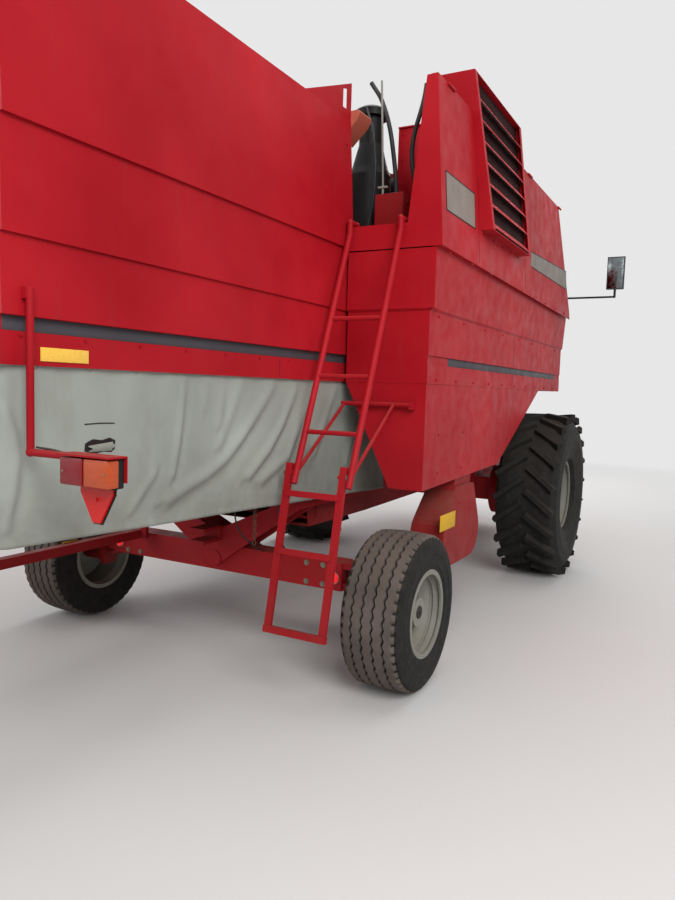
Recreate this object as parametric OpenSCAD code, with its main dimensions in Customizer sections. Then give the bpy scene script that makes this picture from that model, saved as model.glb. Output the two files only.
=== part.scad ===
// Combine harvester without its header, parked on its wheels.
// Millimetres. Front is -Y, the machine's right-hand side is -X, up is +Z.
// Lengths along Y are measured from the front axle and the whole is centred at the end.

/* [Stance] */
// Distance between the front and the rear axle
wheelbase = 3433; // [3400:1:3480]
// Radius of the front tyres over their lugs
front_tyre_r = 800; // [780:1:815]
// Width of the front tyres
front_tyre_w = 587; // [560:1:600]
// Distance between the middles of the front tyres
front_track = 2720; // [2700:1:2760]
// Radius of the front rims at the bead
front_rim_r = 340; // [325:1:350]
// Radius of the rear tyres
rear_tyre_r = 470; // [462:1:478]
// Width of the rear tyres
rear_tyre_w = 366; // [350:1:372]
// Distance between the middles of the rear tyres
rear_track = 2634; // [2620:1:2650]
// Radius of the rear rims at the bead
rear_rim_r = 262; // [255:1:268]
// Distance from each kingpin to the middle of its wheel
kingpin_inset = 297; // [292:1:307]

/* [Wide body] */
// Distance that the body reaches ahead of the front axle
body_ahead = 720; // [700:1:735]
// Distance from the front axle to the body's rear wall
body_rear = 3157; // [3140:1:3175]
// Half the body's width at the lower side panels
body_half = 1321; // [1310:1:1330]
// Amount by which each side panel stands over the one below
lap = 16; // [12:1:20]
// Thickness of the sheet metal
sheet = 4; // [3:0.5:5]
// Height of the upper edge of the grey stripe
line_stripe = 2000; // [1990:1:2010]
// Height of the joint between the middle side panels
line_mid = 2287; // [2270:1:2300]
// Height of the lower edge of the upper covers at the rear
line_top = 2666; // [2655:1:2680]
// Height of the grey stripe
stripe_h = 55; // [45:1:65]
// Height of the upper covers' top edge
cover_top = 3670; // [3655:1:3685]
// Amount by which the upper covers lean in towards the top
cover_lean = 72; // [60:1:80]
// Height of the engine deck
deck_top = 2806; // [2795:1:2815]

/* [Straw hood] */
// Half the hood's width at its lower strip
hood_half = 720; // [712:1:726]
// Distance from the front axle to the hood's rear wall
hood_rear = 5690; // [5640:1:5720]
// Height of the hood's roof
hood_top = 3500; // [3480:1:3520]
// Thickness of the canvas skirt
canvas_t = 6; // [5:0.5:8]
// Height of the canvas skirt's lower edge at the rear
canvas_low = 1154; // [1140:1:1170]

/* [Air intake] */
// Distance from the front axle to the intake box's front end
intake_front = 1360; // [1340:1:1380]
// Length of the intake box
intake_len = 1040; // [1020:1:1060]
// Height of the intake box's lower edge
intake_low = 2905; // [2890:1:2920]
// Height of the intake box's upper edge
intake_top = 3930; // [3915:1:3945]
// Number of slats in the intake box
slat_count = 7; // [6:1:8]

/* [Grain tank] */
// Length of the grain tank
tank_len = 1720; // [1700:1:1740]
// Half the grain tank's width
tank_half = 1230; // [1215:1:1240]
// Height of the grain tank's rim
tank_rim = 3700; // [3692:1:3715]
// Rise of the tank's lids from the sides to the middle
lid_rise = 90; // [70:1:110]
// Radius of the unloading tube
unload_r = 150; // [140:1:156]
// Length of the unloading tube from its pivot
unload_len = 3700; // [3500:1:3750]

/* [Feeder house] */
// Length of the feeder house from its pivot to its mouth
feeder_len = 2080; // [2040:1:2110]
// Width of the feeder house
feeder_w = 1040; // [1010:1:1060]
// Height of the feeder house's mouth
feeder_h = 560; // [540:1:580]
// Angle at which the feeder house hangs down when parked
feeder_tilt = 23; // [22:0.5:24]
// Radius of the lift cylinders' barrels
lift_r = 45; // [40:1:50]

/* [Cab] */
// Half the cab's width
cab_half = 800; // [790:1:810]
// Length of the cab
cab_len = 1400; // [1380:1:1420]
// Height of the cab floor's upper side
cab_floor = 1960; // [1950:1:1975]
// Height of the cab roof's upper side
cab_roof_top = 3620; // [3600:1:3640]
// Thickness of the cab's walls, pillars and door
cab_wall = 50; // [44:1:56]
// Thickness of the cab glass
glass_t = 6; // [5:0.5:8]

/* [Rear axle and ladder] */
// Height of the rear axle beam
beam_h = 175; // [165:1:185]
// Width between the middles of the rear ladder's stiles
ladder_w = 350; // [340:1:360]
// Radius of the rear ladder's stiles
stile_r = 19; // [17:1:20]

/* [Hidden] */

RIGHT = -1;
LEFT = 1;
line_low = line_stripe - 176;   // lower edge of the side panels
red = [0.72, 0.05, 0.07];
dark_red = [0.5, 0.04, 0.06];
grey = [0.45, 0.45, 0.43];
black = [0.08, 0.08, 0.09];
steel = [0.6, 0.6, 0.6];
tyre_black = [0.13, 0.13, 0.13];
canvas_grey = [0.62, 0.64, 0.62];
glass_blue = [0.6, 0.75, 0.8, 0.4];

gap = 5;             // clearance round pieces that move
seat_gap = 0.3;      // clearance between pieces that lie on each other
pin_play = 0.05;     // radial clearance of a pin in its hole

// The whole is centred between the feeder house's mouth and the hood's rear wall.
feeder_pivot_y = -body_ahead + 60;
feeder_pivot_z = 1440;
mouth_rim = 60;       // height of the frame round the feeder house's mouth
mouth_y = feeder_pivot_y - feeder_len * cos(feeder_tilt) - (feeder_h / 2 + mouth_rim) * sin(feeder_tilt);
mid_y = (hood_rear + mouth_y) / 2;

module placed() { translate([0, -mid_y, 0]) children(); }
// A mirrored pair, one child on each side of the machine.
module both() { for (s = [RIGHT, LEFT]) scale_x(s) children(); }
module scale_x(s) { if (s > 0) children(); else mirror([1, 0, 0]) children(); }
// A profile in X and Z, extruded along Y from y0 to y1.
module along_y(y0, y1) {
    translate([0, y1, 0]) rotate([90, 0, 0]) linear_extrude(y1 - y0) children();
}
// A profile in Y and Z, extruded along X from x0 to x1.
module along_x(x0, x1) {
    translate([x0, 0, 0]) rotate([90, 0, 90]) linear_extrude(x1 - x0) children();
}
module box(low, high) { translate(low) cube(high - low); }
// A round bar between two points.
module bar(a, b, r) {
    d = b - a;
    len = norm(d);
    translate(a) rotate([0, acos(d.z / len), atan2(d.y, d.x)]) cylinder(r = r, h = len, $fn = 20);
}

// Running gear

beam_top = 707;
front_half = front_track / 2;
front_inner = front_half - front_tyre_w / 2;
rear_half = rear_track / 2;
kingpin_x = rear_half - kingpin_inset;
hub_z = rear_tyre_r;
spindle_r = 45;
front_disc_x = 40;    // place of each rim's disc from the wheel's middle
rear_disc_x = 85;
front_rim_half = front_tyre_w * 0.36;
rear_rim_half = rear_tyre_w * 0.48;

// A tyre's section as [radius, half width] pairs from the bead out to the tread.
module tyre_ring(bead_r, out_r, width, crown, bead_half) {
    h = width / 2;
    rotate([0, 90, 0]) rotate_extrude($fn = 60)
        polygon([[bead_r, -bead_half], [bead_r + 25, -(bead_half + h) / 2], [(bead_r + out_r) / 2, -h],
            [out_r - crown * 2.2, -h * 0.97], [out_r - crown * 0.5, -h * 0.82], [out_r, -h * 0.55],
            [out_r, h * 0.55], [out_r - crown * 0.5, h * 0.82], [out_r - crown * 2.2, h * 0.97],
            [(bead_r + out_r) / 2, h], [bead_r + 25, (bead_half + h) / 2], [bead_r, bead_half]]);
}

lug_count = 22;
lug_h = 42;
lug_lean = 38;
lug_half = 20;
lug_len = front_tyre_w * 0.54;
// The lugs' corners lie on the tyre's radius, their flat tops just inside it.
lug_top = sqrt(pow(front_tyre_r, 2) - pow(lug_len / 2 * sin(lug_lean) + lug_half * cos(lug_lean), 2));

module front_tyre() {
    color(tyre_black) {
        tyre_ring(front_rim_r, lug_top - lug_h, front_tyre_w, 40, front_rim_half);
        for (i = [0:lug_count - 1], s = [-1, 1])
            rotate([(i + (s > 0 ? 0.5 : 0)) * 360 / lug_count, 0, 0])
                translate([s * front_tyre_w * 0.24, 0, lug_top - lug_h - 20])
                    rotate([0, 0, s * lug_lean])
                        lug_block(lug_len);
    }
}
module lug_block(len) {
    rotate([90, 0, 90]) linear_extrude(len, center = true)
        polygon([[-34, 0], [34, 0], [lug_half, lug_h + 20], [-lug_half, lug_h + 20]]);
}
module rear_tyre() { color(tyre_black) tyre_ring(rear_rim_r, rear_tyre_r, rear_tyre_w, 26, rear_rim_half); }

// A rim: barrel with its flanges, dished disc and capped hub, the disc towards +X.
module rim(r, h, disc_x, hub_bore, hub_r) {
    rotate([0, 90, 0]) rotate_extrude($fn = 64) union() {
        polygon([[r - 30, -h], [r - seat_gap, -h], [r - seat_gap, h], [r - 30, h], [r - 30, h - 14],
            [r - 14, h - 26], [r - 34, h - 70], [r - 34, -h + 70], [r - 14, -h + 26], [r - 30, -h + 14]]);
        polygon([[r - 30, disc_x + 20], [r * 0.75, disc_x - 34], [hub_r, disc_x - 34],
            [hub_r, disc_x + 36], [0, disc_x + 36], [0, disc_x + 26], [hub_bore, disc_x + 26],
            [hub_bore, disc_x - 84], [hub_r, disc_x - 84],
            [hub_r, disc_x - 46], [r * 0.77, disc_x - 46], [r - 30, disc_x + 6]]);
    }
}
module front_rim() { color(grey) rim(front_rim_r, front_rim_half, front_disc_x, 70 + pin_play, 130); }
module rear_rim() { color(grey) rim(rear_rim_r, rear_rim_half, rear_disc_x, spindle_r + pin_play, 85); }

module front_axle() {
    color(red) placed() translate([0, 0, front_tyre_r]) {
        box([-front_inner + 190, -120, -110], [front_inner - 190, 120, 120]);
        both() {
            // final-drive housing with its lower bulge and the spindle that carries the wheel
            rotate([0, 90, 0]) translate([0, 0, front_inner - 190]) cylinder(r = 250, h = 150, $fn = 48);
            rotate([0, 90, 0]) translate([0, 0, front_inner - 40]) cylinder(r = 160, h = 60, $fn = 48);
            rotate([0, 90, 0]) translate([0, 0, front_inner + 20])
                cylinder(r = 70, h = front_half + front_disc_x + 20 - front_inner - 20, $fn = 48);
            // bracket up to the frame rail
            box([560, -130, 0], [700, 130, rail_low - front_tyre_r]);
            // ear and pin that carry the lift cylinder
            box([lift_x - 85, lift_base.y - 45, lift_base.z - front_tyre_r - 45],
                [lift_x - 55, 0, lift_base.z - front_tyre_r + 45]);
            translate([lift_x - 85, lift_base.y, lift_base.z - front_tyre_r]) rotate([0, 90, 0])
                cylinder(r = lift_pin_r, h = 118, $fn = 32);
        }
    }
}

rail_low = 1010;
rail_h = 130;
rail_x = 600;
pivot_r = 40;
leg_gap = 80;         // distance of the rear legs' plates from the axle's middle

module main_frame() {
    color(red) placed() {
        both() {
            box([rail_x - 40, -body_ahead + 220, rail_low], [rail_x + 40, wheelbase + 120, rail_low + rail_h]);
            // rear leg plates down to the axle's pivot, ahead of it and behind
            for (y = [wheelbase - leg_gap - 30, wheelbase + leg_gap]) along_y(y, y + 30)
                polygon([[0, beam_top - 150], [120, beam_top - 60], [rail_x + 40, rail_low - seat_gap],
                    [rail_x - 150, rail_low - seat_gap], [0, beam_top + 100]]);
        }
        for (y = [-body_ahead + 260, 1500, 2700])
            box([-rail_x, y, rail_low + 20], [rail_x, y + 80, rail_low + rail_h - 20]);
        box([-rail_x, wheelbase - 110, rail_low], [rail_x, wheelbase + 110, rail_low + rail_h]);
        // pin on which the rear axle rocks, and its collar behind the rear leg
        translate([0, wheelbase - leg_gap + seat_gap, beam_top - beam_h / 2]) rotate([-90, 0, 0])
            cylinder(r = pivot_r, h = 2 * (leg_gap - seat_gap), $fn = 40);
        translate([0, wheelbase + leg_gap + 29, beam_top - beam_h / 2]) rotate([-90, 0, 0])
            cylinder(r = pivot_r + 12, h = 8, $fn = 40);
        // rail along the left rear, and the leg that carries it
        box([rail_x + 40 + seat_gap, wheelbase + 112, beam_top - 30], [rail_x + 100, hood_rear - 930, beam_top + 30]);
        box([rail_x - 10, wheelbase + 110 + seat_gap, beam_top - 30], [rail_x + 40, wheelbase + 140, rail_low + 60]);
        // towing jaw under the pivot
        difference() {
            union() {
                box([-60, wheelbase + 110, beam_top + 40], [60, wheelbase + 300, beam_top + 60]);
                box([-60, wheelbase + 110, beam_top + 120], [60, wheelbase + 300, beam_top + 140]);
                box([-60, wheelbase + 108, beam_top + 40], [60, wheelbase + 130, beam_top + 140]);
            }
            translate([0, wheelbase + 245, beam_top]) cylinder(r = tow_pin_r, h = 200, $fn = 32);
        }
    }
}
tow_pin_r = 16;

lug_t = 40;           // thickness of the beam's lugs
king_r = 30;
module rear_axle() {
    color(red) placed() difference() {
        union() {
            box([-kingpin_x + 70, wheelbase - 75, beam_top - beam_h], [kingpin_x - 70, wheelbase + 75, beam_top]);
            both() for (z = [beam_top - beam_h, beam_top - lug_t]) {
                box([kingpin_x - 90, wheelbase - 56, z], [kingpin_x, wheelbase + 56, z + lug_t]);
                translate([kingpin_x, wheelbase, z]) cylinder(r = 56, h = lug_t, $fn = 40);
            }
        }
        both() translate([kingpin_x, wheelbase, beam_top - beam_h - 1])
            cylinder(r = king_r + pin_play, h = beam_h + 2, $fn = 40);
        translate([0, wheelbase - 100, beam_top - beam_h / 2]) rotate([-90, 0, 0])
            cylinder(r = pivot_r + pin_play, h = 200, $fn = 40);
    }
}

tie_y = -300;      // the tie rod's place ahead of the kingpins
tie_pin_r = 14;
arm_low = -36;        // the steering arm's underside below the beam
module knuckle() {
    // drawn at the kingpin's foot, for the left-hand side
    zc = hub_z - (beam_top - beam_h);
    color(dark_red) {
        translate([0, 0, arm_low]) cylinder(r = king_r, h = beam_h - arm_low, $fn = 40);
        translate([0, 0, lug_t + 1]) cylinder(r = 52, h = beam_h - 2 * lug_t - 2, $fn = 40);
        // web outboard of the beam's lugs, down to the spindle
        box([0, -46, lug_t + 1], [80, 46, beam_h - lug_t - 1]);
        along_x(62, 98) polygon([[-60, zc - 60], [60, zc - 60], [60, lug_t], [46, beam_h - lug_t - 1],
            [-46, beam_h - lug_t - 1], [-60, lug_t]]);
        translate([70, 0, zc]) rotate([0, 90, 0])
            cylinder(r = spindle_r, h = rear_half - kingpin_x + rear_disc_x + 20 - 70, $fn = 40);
        translate([90, 0, zc]) rotate([0, 90, 0]) cylinder(r = 66, h = 22, $fn = 40);
        // steering arm
        translate([0, 0, arm_low]) difference() {
            linear_extrude(24) hull() {
                circle(r = 48, $fn = 32);
                translate([0, tie_y]) circle(r = 34, $fn = 32);
            }
            translate([0, tie_y, -1]) cylinder(r = tie_pin_r + pin_play, h = 40, $fn = 32);
        }
    }
}
module knuckle_left() {
    placed() translate([kingpin_x, wheelbase, beam_top - beam_h]) knuckle();
}
module knuckle_right() {
    placed() translate([-kingpin_x, wheelbase, beam_top - beam_h]) mirror([1, 0, 0]) knuckle();
}
module tie_rod() {
    color(steel) placed() translate([0, wheelbase + tie_y, beam_top - beam_h + arm_low - gap]) {
        both() {
            translate([kingpin_x, 0, -44]) cylinder(r = 32, h = 44, $fn = 32);
            translate([kingpin_x, 0, -10]) cylinder(r = tie_pin_r, h = 10 + gap + 24, $fn = 32);
        }
        translate([-kingpin_x, 0, -22]) rotate([0, 90, 0]) cylinder(r = 18, h = kingpin_x * 2, $fn = 32);
    }
}

module front_wheel_place(s) { placed() translate([s * front_half, 0, front_tyre_r]) scale_x(s) children(); }
module rear_wheel_place(s) { placed() translate([s * rear_half, wheelbase, rear_tyre_r]) scale_x(s) children(); }

// Body

body_w_in = 640;
body_low = rail_low + rail_h;

body_face = -body_ahead + 80;
body_top = line_top - 60;
body_end = 3080;
feeder_back_h = 500;  // the feeder house's height at its rear end
throat_r = feeder_back_h / 2 + gap;
cheek_w = body_w_in - feeder_w / 2 - gap;
module threshing_body() {
    color(red) placed() difference() {
        union() {
            // closed housing: drum end at the front, walker channel behind
            along_x(-body_w_in, body_w_in)
                polygon([[body_face, body_top], [body_face, 1330], [body_face + 140, body_low + 10],
                    [-300, body_low], [2500, body_low], [body_end, 1500], [body_end, body_top]]);
            // cheeks that carry the feeder house's pivots
            both() along_x(body_w_in - cheek_w, body_w_in)
                polygon([[body_face + 10, feeder_pivot_z - 160], [feeder_pivot_y - 60, feeder_pivot_z - 70],
                    [feeder_pivot_y - 60, feeder_pivot_z + 70], [body_face + 10, feeder_pivot_z + 160]]);
        }
        // throat round the feeder house's rear end, and its pivots' holes
        translate([-feeder_w / 2 - gap, feeder_pivot_y, feeder_pivot_z]) rotate([0, 90, 0])
            cylinder(r = throat_r, h = feeder_w + 2 * gap, $fn = 64);
        translate([-body_w_in - 1, feeder_pivot_y, feeder_pivot_z]) rotate([0, 90, 0])
            cylinder(r = trunnion_r + pin_play, h = 2 * body_w_in + 2, $fn = 40);
    }
}
trunnion_r = 30;

shoe_half = rail_x - 40 - seat_gap;
module cleaning_shoe() {
    color(dark_red) placed() {
        difference() {
            along_x(-shoe_half + 10, shoe_half - 10)
                polygon([[900, 880], [2400, 850], [3240, 850], [3270, 1000], [900, 1000]]);
            // open end below and between the sieves
            along_x(-shoe_half + 20, shoe_half - 20)
                polygon([[2600, 862], [3400, 862], [3400, 970], [2600, 990]]);
        }
        // sieves with their turned-up tails
        for (z = [895, 945]) along_x(-shoe_half + 19, shoe_half - 19)
            polygon([[2590, z], [3230, z], [3300, z + 30], [3296, z + 38], [3227, z + 8], [2590, z + 8]]);
        // hangers on the frame rails
        both() for (y = [1000, 3100]) box([shoe_half - 11, y, 900], [shoe_half, y + 60, 1090]);
    }
}

walker_count = 4;
walker_w = (body_w_in - 16) / 2 - 2;
walker_low = body_low + 500;
// A walker's toothed side, rising from y0 to its tail at y1.
module walker_side(y0, y1) {
    run = y1 - y0;
    polygon([[y0, walker_low], [y0, walker_low + 200], [y0 + run * 0.29, walker_low + 320],
        [y0 + run * 0.3, walker_low + 240], [y0 + run * 0.58, walker_low + 360],
        [y0 + run * 0.59, walker_low + 280], [y1 - run * 0.12, walker_low + 410], [y1, walker_low + 420],
        [y1 - run * 0.12, walker_low + 260], [y0 + run * 0.2, walker_low + 20]]);
}
module straw_walkers() {
    color(steel) placed() for (i = [0:walker_count - 1])
        translate([(i - (walker_count - 1) / 2) * (walker_w + 12), 0, (i % 2) * 60])
            along_x(-walker_w / 2, walker_w / 2)
                walker_side(body_end + seat_gap, hood_rear - 990);
}

// The side panels' section from the lower edge up to the covers.
module side_section() {
    x0 = body_half;
    polygon([
        [x0, line_low], [x0, line_stripe - stripe_h], [x0 - 10, line_stripe - stripe_h],
        [x0 - 10, line_stripe], [x0 + 2, line_stripe], [x0 + 2, line_mid - 16],
        [x0 + lap, line_mid], [x0 + lap + 24, panel_top],
        [x0 + lap + 24 - sheet, panel_top], [x0 + lap - sheet, line_mid + 4],
        [x0 - sheet, line_mid - 10], [x0 - sheet - 12, line_stripe], [x0 - sheet - 12, line_low]]);
}
module side_panels() {
    color(red) placed() both() {
        along_y(-body_ahead, body_rear) side_section();
        // rear wall beside the hood, in two laps
        along_x(hood_half + 34, body_half - 2)
            polygon([[body_rear - sheet, line_low], [body_rear, line_low], [body_rear, line_mid - 16],
                [body_rear + lap, line_mid], [body_rear + lap, line_top - 14],
                [body_rear + lap - sheet, line_top - 14], [body_rear + lap - sheet, line_mid + 6],
                [body_rear - sheet, line_mid - 10]]);
        along_x(body_half - 8, body_half + lap + 20)
            polygon([[body_rear + lap, line_mid], [body_rear + lap, line_top - 14],
                [body_rear - 40, line_top - 14], [body_rear - 40, line_mid]]);
        // front wall outboard of the threshing body
        box([body_w_in + 30, -body_ahead, line_low], [body_half - 4, -body_ahead + sheet, line_top - 14]);
    }
}

shield_low = 1150;
arch_y = front_tyre_r + 563;       // rear end of the arch over the front wheel
module lower_shields() {
    color(dark_red) placed() both() {
        along_x(body_half - 4 - sheet, body_half - 4)
            polygon([[187, line_low - seat_gap], [body_rear - 2, line_low - seat_gap],
                [body_rear - 2, shield_low], [arch_y + 187, shield_low + 50], [arch_y, shield_low + 115]]);
        along_y(body_rear - 2 - sheet, body_rear - 2)
            polygon([[hood_half + 34, line_low - seat_gap], [body_half - 4, line_low - seat_gap],
                [body_half - 4, shield_low], [1085, shield_low]]);
    }
}

panel_top = line_top - 12;
cover_half = body_half + 75;
cover_drop = 60;
cover_front = -body_ahead + 499;   // front end of the covers' top edge
post_in_low = 1162;
post_in_top = 1254;
sill_top = deck_top + 4;
module upper_covers() {
    color(red) placed() difference() {
        cover_sides();
        // opening behind the intake's slats
        along_x(-cover_half, -cover_half + cover_lean + 30) intersection() {
            intake_side(30);
            translate([intake_front, intake_low]) square([2000, cover_top - 60 - intake_low]);
        }
    }
}
module cover_sides() {
    both() {
        // side sheet, leaning in, with its slanted front end
        intersection() {
            along_y(-body_ahead, body_rear + lap + 8)
                polygon([[cover_half, line_top - cover_drop - 8], [cover_half, line_top],
                    [cover_half - cover_lean, cover_top], [cover_half - cover_lean - 40, cover_top],
                    [cover_half - cover_lean - 40, cover_top - sheet],
                    [cover_half - cover_lean - sheet, cover_top - sheet],
                    [cover_half - sheet, line_top], [cover_half - sheet, line_top - cover_drop - 8]]);
            along_x(0, 2000)
                polygon([[-body_ahead, line_top - cover_drop - 8], [body_rear + lap + 8, line_top - 8],
                    [body_rear + lap + 8, cover_top + 10], [cover_front, cover_top + 10],
                    [cover_front, cover_top], [cover_front - 108, cover_top - 232]]);
        }
        // rear wall: sill below, post outboard
        along_y(body_rear + lap + 4, body_rear + lap + 8)
            polygon([[hood_half + 34, line_top - 8], [cover_half - 1, line_top - 8],
                [cover_half - cover_lean - 1, cover_top - 2], [post_in_top, cover_top - 2],
                [post_in_low, sill_top], [hood_half + 34, sill_top]]);
        // inner side of the post
        along_y(body_rear - 120, body_rear + lap + 8)
            polygon([[post_in_low, sill_top], [post_in_top, cover_top - 2],
                [post_in_top + sheet, cover_top - 2], [post_in_low + sheet, sill_top]]);
        // foot of the sheet, turned in over the side panels
        along_y(-body_ahead + 60, body_rear + lap + 4)
            polygon([[cover_half - sheet - 1, panel_top + seat_gap + sheet],
                [body_half + lap - 6, panel_top + seat_gap + sheet],
                [body_half + lap - 6, panel_top + seat_gap], [cover_half - sheet - 1, panel_top + seat_gap]]);
    }
}

intake_rear = intake_front + intake_len;
intake_proud = 88;    // how far the intake's foot stands out from the cover
intake_lean = 130;    // how far its face leans in towards the top
intake_rake = 160;    // how far its rear end leans back towards the top
intake_in = 1100;     // inner side of the part over the cover's top edge
intake_slant = [[1, 0, 0, 0], [0, 1, intake_rake / (intake_top - intake_low), 0], [0, 0, 1, 0]];
function cover_x(z) = cover_half - cover_lean * (z - line_top) / (cover_top - line_top);
function intake_x(z) = cover_x(intake_low) + intake_proud
    - intake_lean * (z - intake_low) / (intake_top - intake_low);
// The intake's side outline, its rear end raked.
module intake_side(shrink) {
    polygon([[intake_front + shrink, intake_low + shrink], [intake_rear - shrink, intake_low + shrink],
        [intake_rear + intake_rake - shrink, intake_top - shrink], [intake_front + shrink, intake_top - shrink]]);
}
module air_intake() {
    step = (intake_top - intake_low - 60) / slat_count;
    out = intake_x(intake_low);
    color(red) placed() mirror([1, 0, 0]) {
        difference() {
            intersection() {
                along_y(intake_front, intake_rear + intake_rake)
                    polygon([[cover_x(intake_low) + seat_gap, intake_low], [out, intake_low],
                        [intake_x(intake_top), intake_top], [intake_in, intake_top],
                        [intake_in, cover_top + seat_gap], [cover_x(cover_top) + seat_gap, cover_top + seat_gap]]);
                along_x(0, 2000) intake_side(0);
            }
            // hollow inside, open to the cover and to the slats
            intersection() {
                along_y(intake_front, intake_rear + intake_rake)
                    polygon([[cover_x(intake_low) - 10, intake_low - 1], [out + 1, intake_low - 1],
                        [intake_x(intake_top) + 1, intake_top - sheet], [intake_in + sheet, intake_top - sheet],
                        [intake_in + sheet, cover_top - 1], [cover_x(cover_top) - 10, cover_top - 1]]);
                along_x(0, 2000) intake_side(sheet);
            }
        }
        // flanges along the face's front and rear ends
        for (y = [intake_front, intake_rear - 46]) intersection() {
            multmatrix(y > intake_front ? intake_slant : [[1, 0, 0, 0], [0, 1, 0, 0], [0, 0, 1, 0]])
                translate([0, y - (y > intake_front ? intake_rake * intake_low / (intake_top - intake_low) : 0), 0])
                    along_y(0, 46) polygon([[out - 5, intake_low], [out, intake_low],
                        [intake_x(intake_top), intake_top], [intake_x(intake_top) - 5, intake_top]]);
            along_x(0, 2000) intake_side(0);
        }
        // slats, each turned to shed rain
        for (i = [0:slat_count - 1]) {
            z = intake_low + 20 + i * step;
            x = intake_x(z);
            intersection() {
                along_y(intake_front, intake_rear + intake_rake)
                    polygon([[x, z], [x - 37, z + 46], [x - 34, z + 50], [x - 1, z + 8]]);
                along_x(0, 2000) intake_side(1);
            }
        }
    }
}

tank_front = -body_ahead + 80;
tank_rear = tank_front + tank_len;

deck_half = cover_x(deck_top) - sheet - seat_gap;
socket_r = 80;
module engine_deck() {
    color(dark_red) placed() {
        box([-deck_half, tank_rear + 10, deck_top - 6], [deck_half, body_rear - 70, deck_top]);
        for (x = [-560, 0, 560])
            box([x - 30, tank_rear + 10, body_top], [x + 30, body_rear - 77, deck_top - 5]);
        // spigot on which the unloading tube turns
        translate([unload_x, unload_y, deck_top - 1]) cylinder(r = socket_r, h = 61, $fn = 48);
        translate([unload_x, unload_y, deck_top - 1]) cylinder(r = unload_r, h = 11, $fn = 48);
    }
}

engine_y = 2000;      // crankshaft's place behind the front axle
engine_z = deck_top + 330;
module engine() {
    color([0.35, 0.08, 0.08]) placed() translate([0, engine_y, 0]) {
        // mounting feet, sump, block, head and rocker cover, the crankshaft lying across
        for (x = [-430, 330], y = [-260, 180])
            box([x, y, deck_top + seat_gap], [x + 90, y + 80, deck_top + 200]);
        box([-480, -180, deck_top + 60], [420, 180, engine_z - 60]);
        box([-520, -230, engine_z - 130], [440, 230, engine_z + 190]);
        box([-500, -150, engine_z + 190], [420, 150, engine_z + 300]);
        box([-470, -90, engine_z + 300], [390, 90, engine_z + 370]);
        // flywheel housing and clutch on the left
        translate([440, 0, engine_z]) rotate([0, 90, 0]) cylinder(r = 230, h = 120, $fn = 40);
        translate([560, 0, engine_z]) rotate([0, 90, 0]) cylinder(r = 200, h = 70, $fn = 40);
        // fan hub and pulley on the right
        translate([-600, 0, engine_z]) rotate([0, 90, 0]) cylinder(r = 60, h = 82, $fn = 32);
        translate([-580, 0, engine_z]) rotate([0, 90, 0]) cylinder(r = 110, h = 28, $fn = 32);
    }
}

rad_x = -980;
rad_t = 110;
rad_half = 480;
rad_top = deck_top + 834;
module radiator() {
    color(black) placed() {
        difference() {
            box([rad_x, engine_y - rad_half, deck_top + seat_gap], [rad_x + rad_t, engine_y + rad_half, rad_top]);
            translate([rad_x + rad_t - 50, engine_y, engine_z + 60]) rotate([0, 90, 0]) cylinder(r = 330, h = 80, $fn = 48);
        }
        translate([rad_x + rad_t - 1, engine_y, engine_z + 60]) rotate([0, 90, 0]) difference() {
            cylinder(r = 345, h = 90, $fn = 48);
            translate([0, 0, -1]) cylinder(r = 330, h = 92, $fn = 48);
        }
    }
}

cleaner_x = -610;
cleaner_y = 2620;
module air_cleaner() {
    color(black) placed() {
        // canister narrowing to its neck, with the cap that keeps rain out
        translate([cleaner_x, cleaner_y, deck_top + seat_gap]) rotate_extrude($fn = 40)
            polygon([[0, 0], [130, 0], [150, 20], [150, 480], [130, 530], [84, 700], [84, 880],
                [118, 884], [118, 930], [84, 952], [0, 952]]);
        // hose to the engine's manifold
        bar([cleaner_x + 120, cleaner_y - 40, deck_top + 380], [-330, engine_y + 260, engine_z + 100], 58);
    }
}

module exhaust() {
    color([0.35, 0.25, 0.2]) placed() {
        translate([-300, engine_y + 400, engine_z + 240]) rotate([0, 90, 0]) cylinder(r = 95, h = 620, $fn = 32);
        bar([220, engine_y + 400, engine_z + 240], [220, engine_y + 400, 3930], 38);
        for (x = [-200, 0, 200])
            box([x - 25, engine_y + 150 + seat_gap, engine_z + 215], [x + 25, engine_y + 400, engine_z + 265]);
    }
}

tank_wall = 5;
module grain_tank() {
    color(red) placed() difference() {
        along_y(tank_front, tank_rear)
            polygon([[-tank_half, body_top + 354], [-tank_half + 420, body_top], [tank_half - 300, body_top],
                [tank_half, body_top + 254], [tank_half, tank_rim], [-tank_half, tank_rim]]);
        along_y(tank_front + tank_wall, tank_rear - tank_wall)
            polygon([[-tank_half + tank_wall, body_top + 357], [-tank_half + 422, body_top + tank_wall],
                [tank_half - 302, body_top + tank_wall], [tank_half - tank_wall, body_top + 257],
                [tank_half - tank_wall, tank_rim + 1], [-tank_half + tank_wall, tank_rim + 1]]);
    }
}
unload_x = 1100;
unload_y = tank_rear + 210;

// A roof-shaped lid over half the tank, hinged along the tank's outer edge.
module tank_lid(s) {
    color(red) placed() scale_x(s) {
        along_y(tank_front - 4, tank_rear + 4)
            polygon([[4, tank_rim + seat_gap + lid_rise], [tank_half + 6, tank_rim + seat_gap],
                [tank_half + 6, tank_rim + seat_gap + 5], [4, tank_rim + seat_gap + lid_rise + 5]]);
        // end skirts
        for (y = [tank_front - 4, tank_rear])
            along_y(y, y + 4) polygon([[4, tank_rim + seat_gap + lid_rise], [4, tank_rim + seat_gap],
                [tank_half + 6, tank_rim + seat_gap]]);
    }
}

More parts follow.
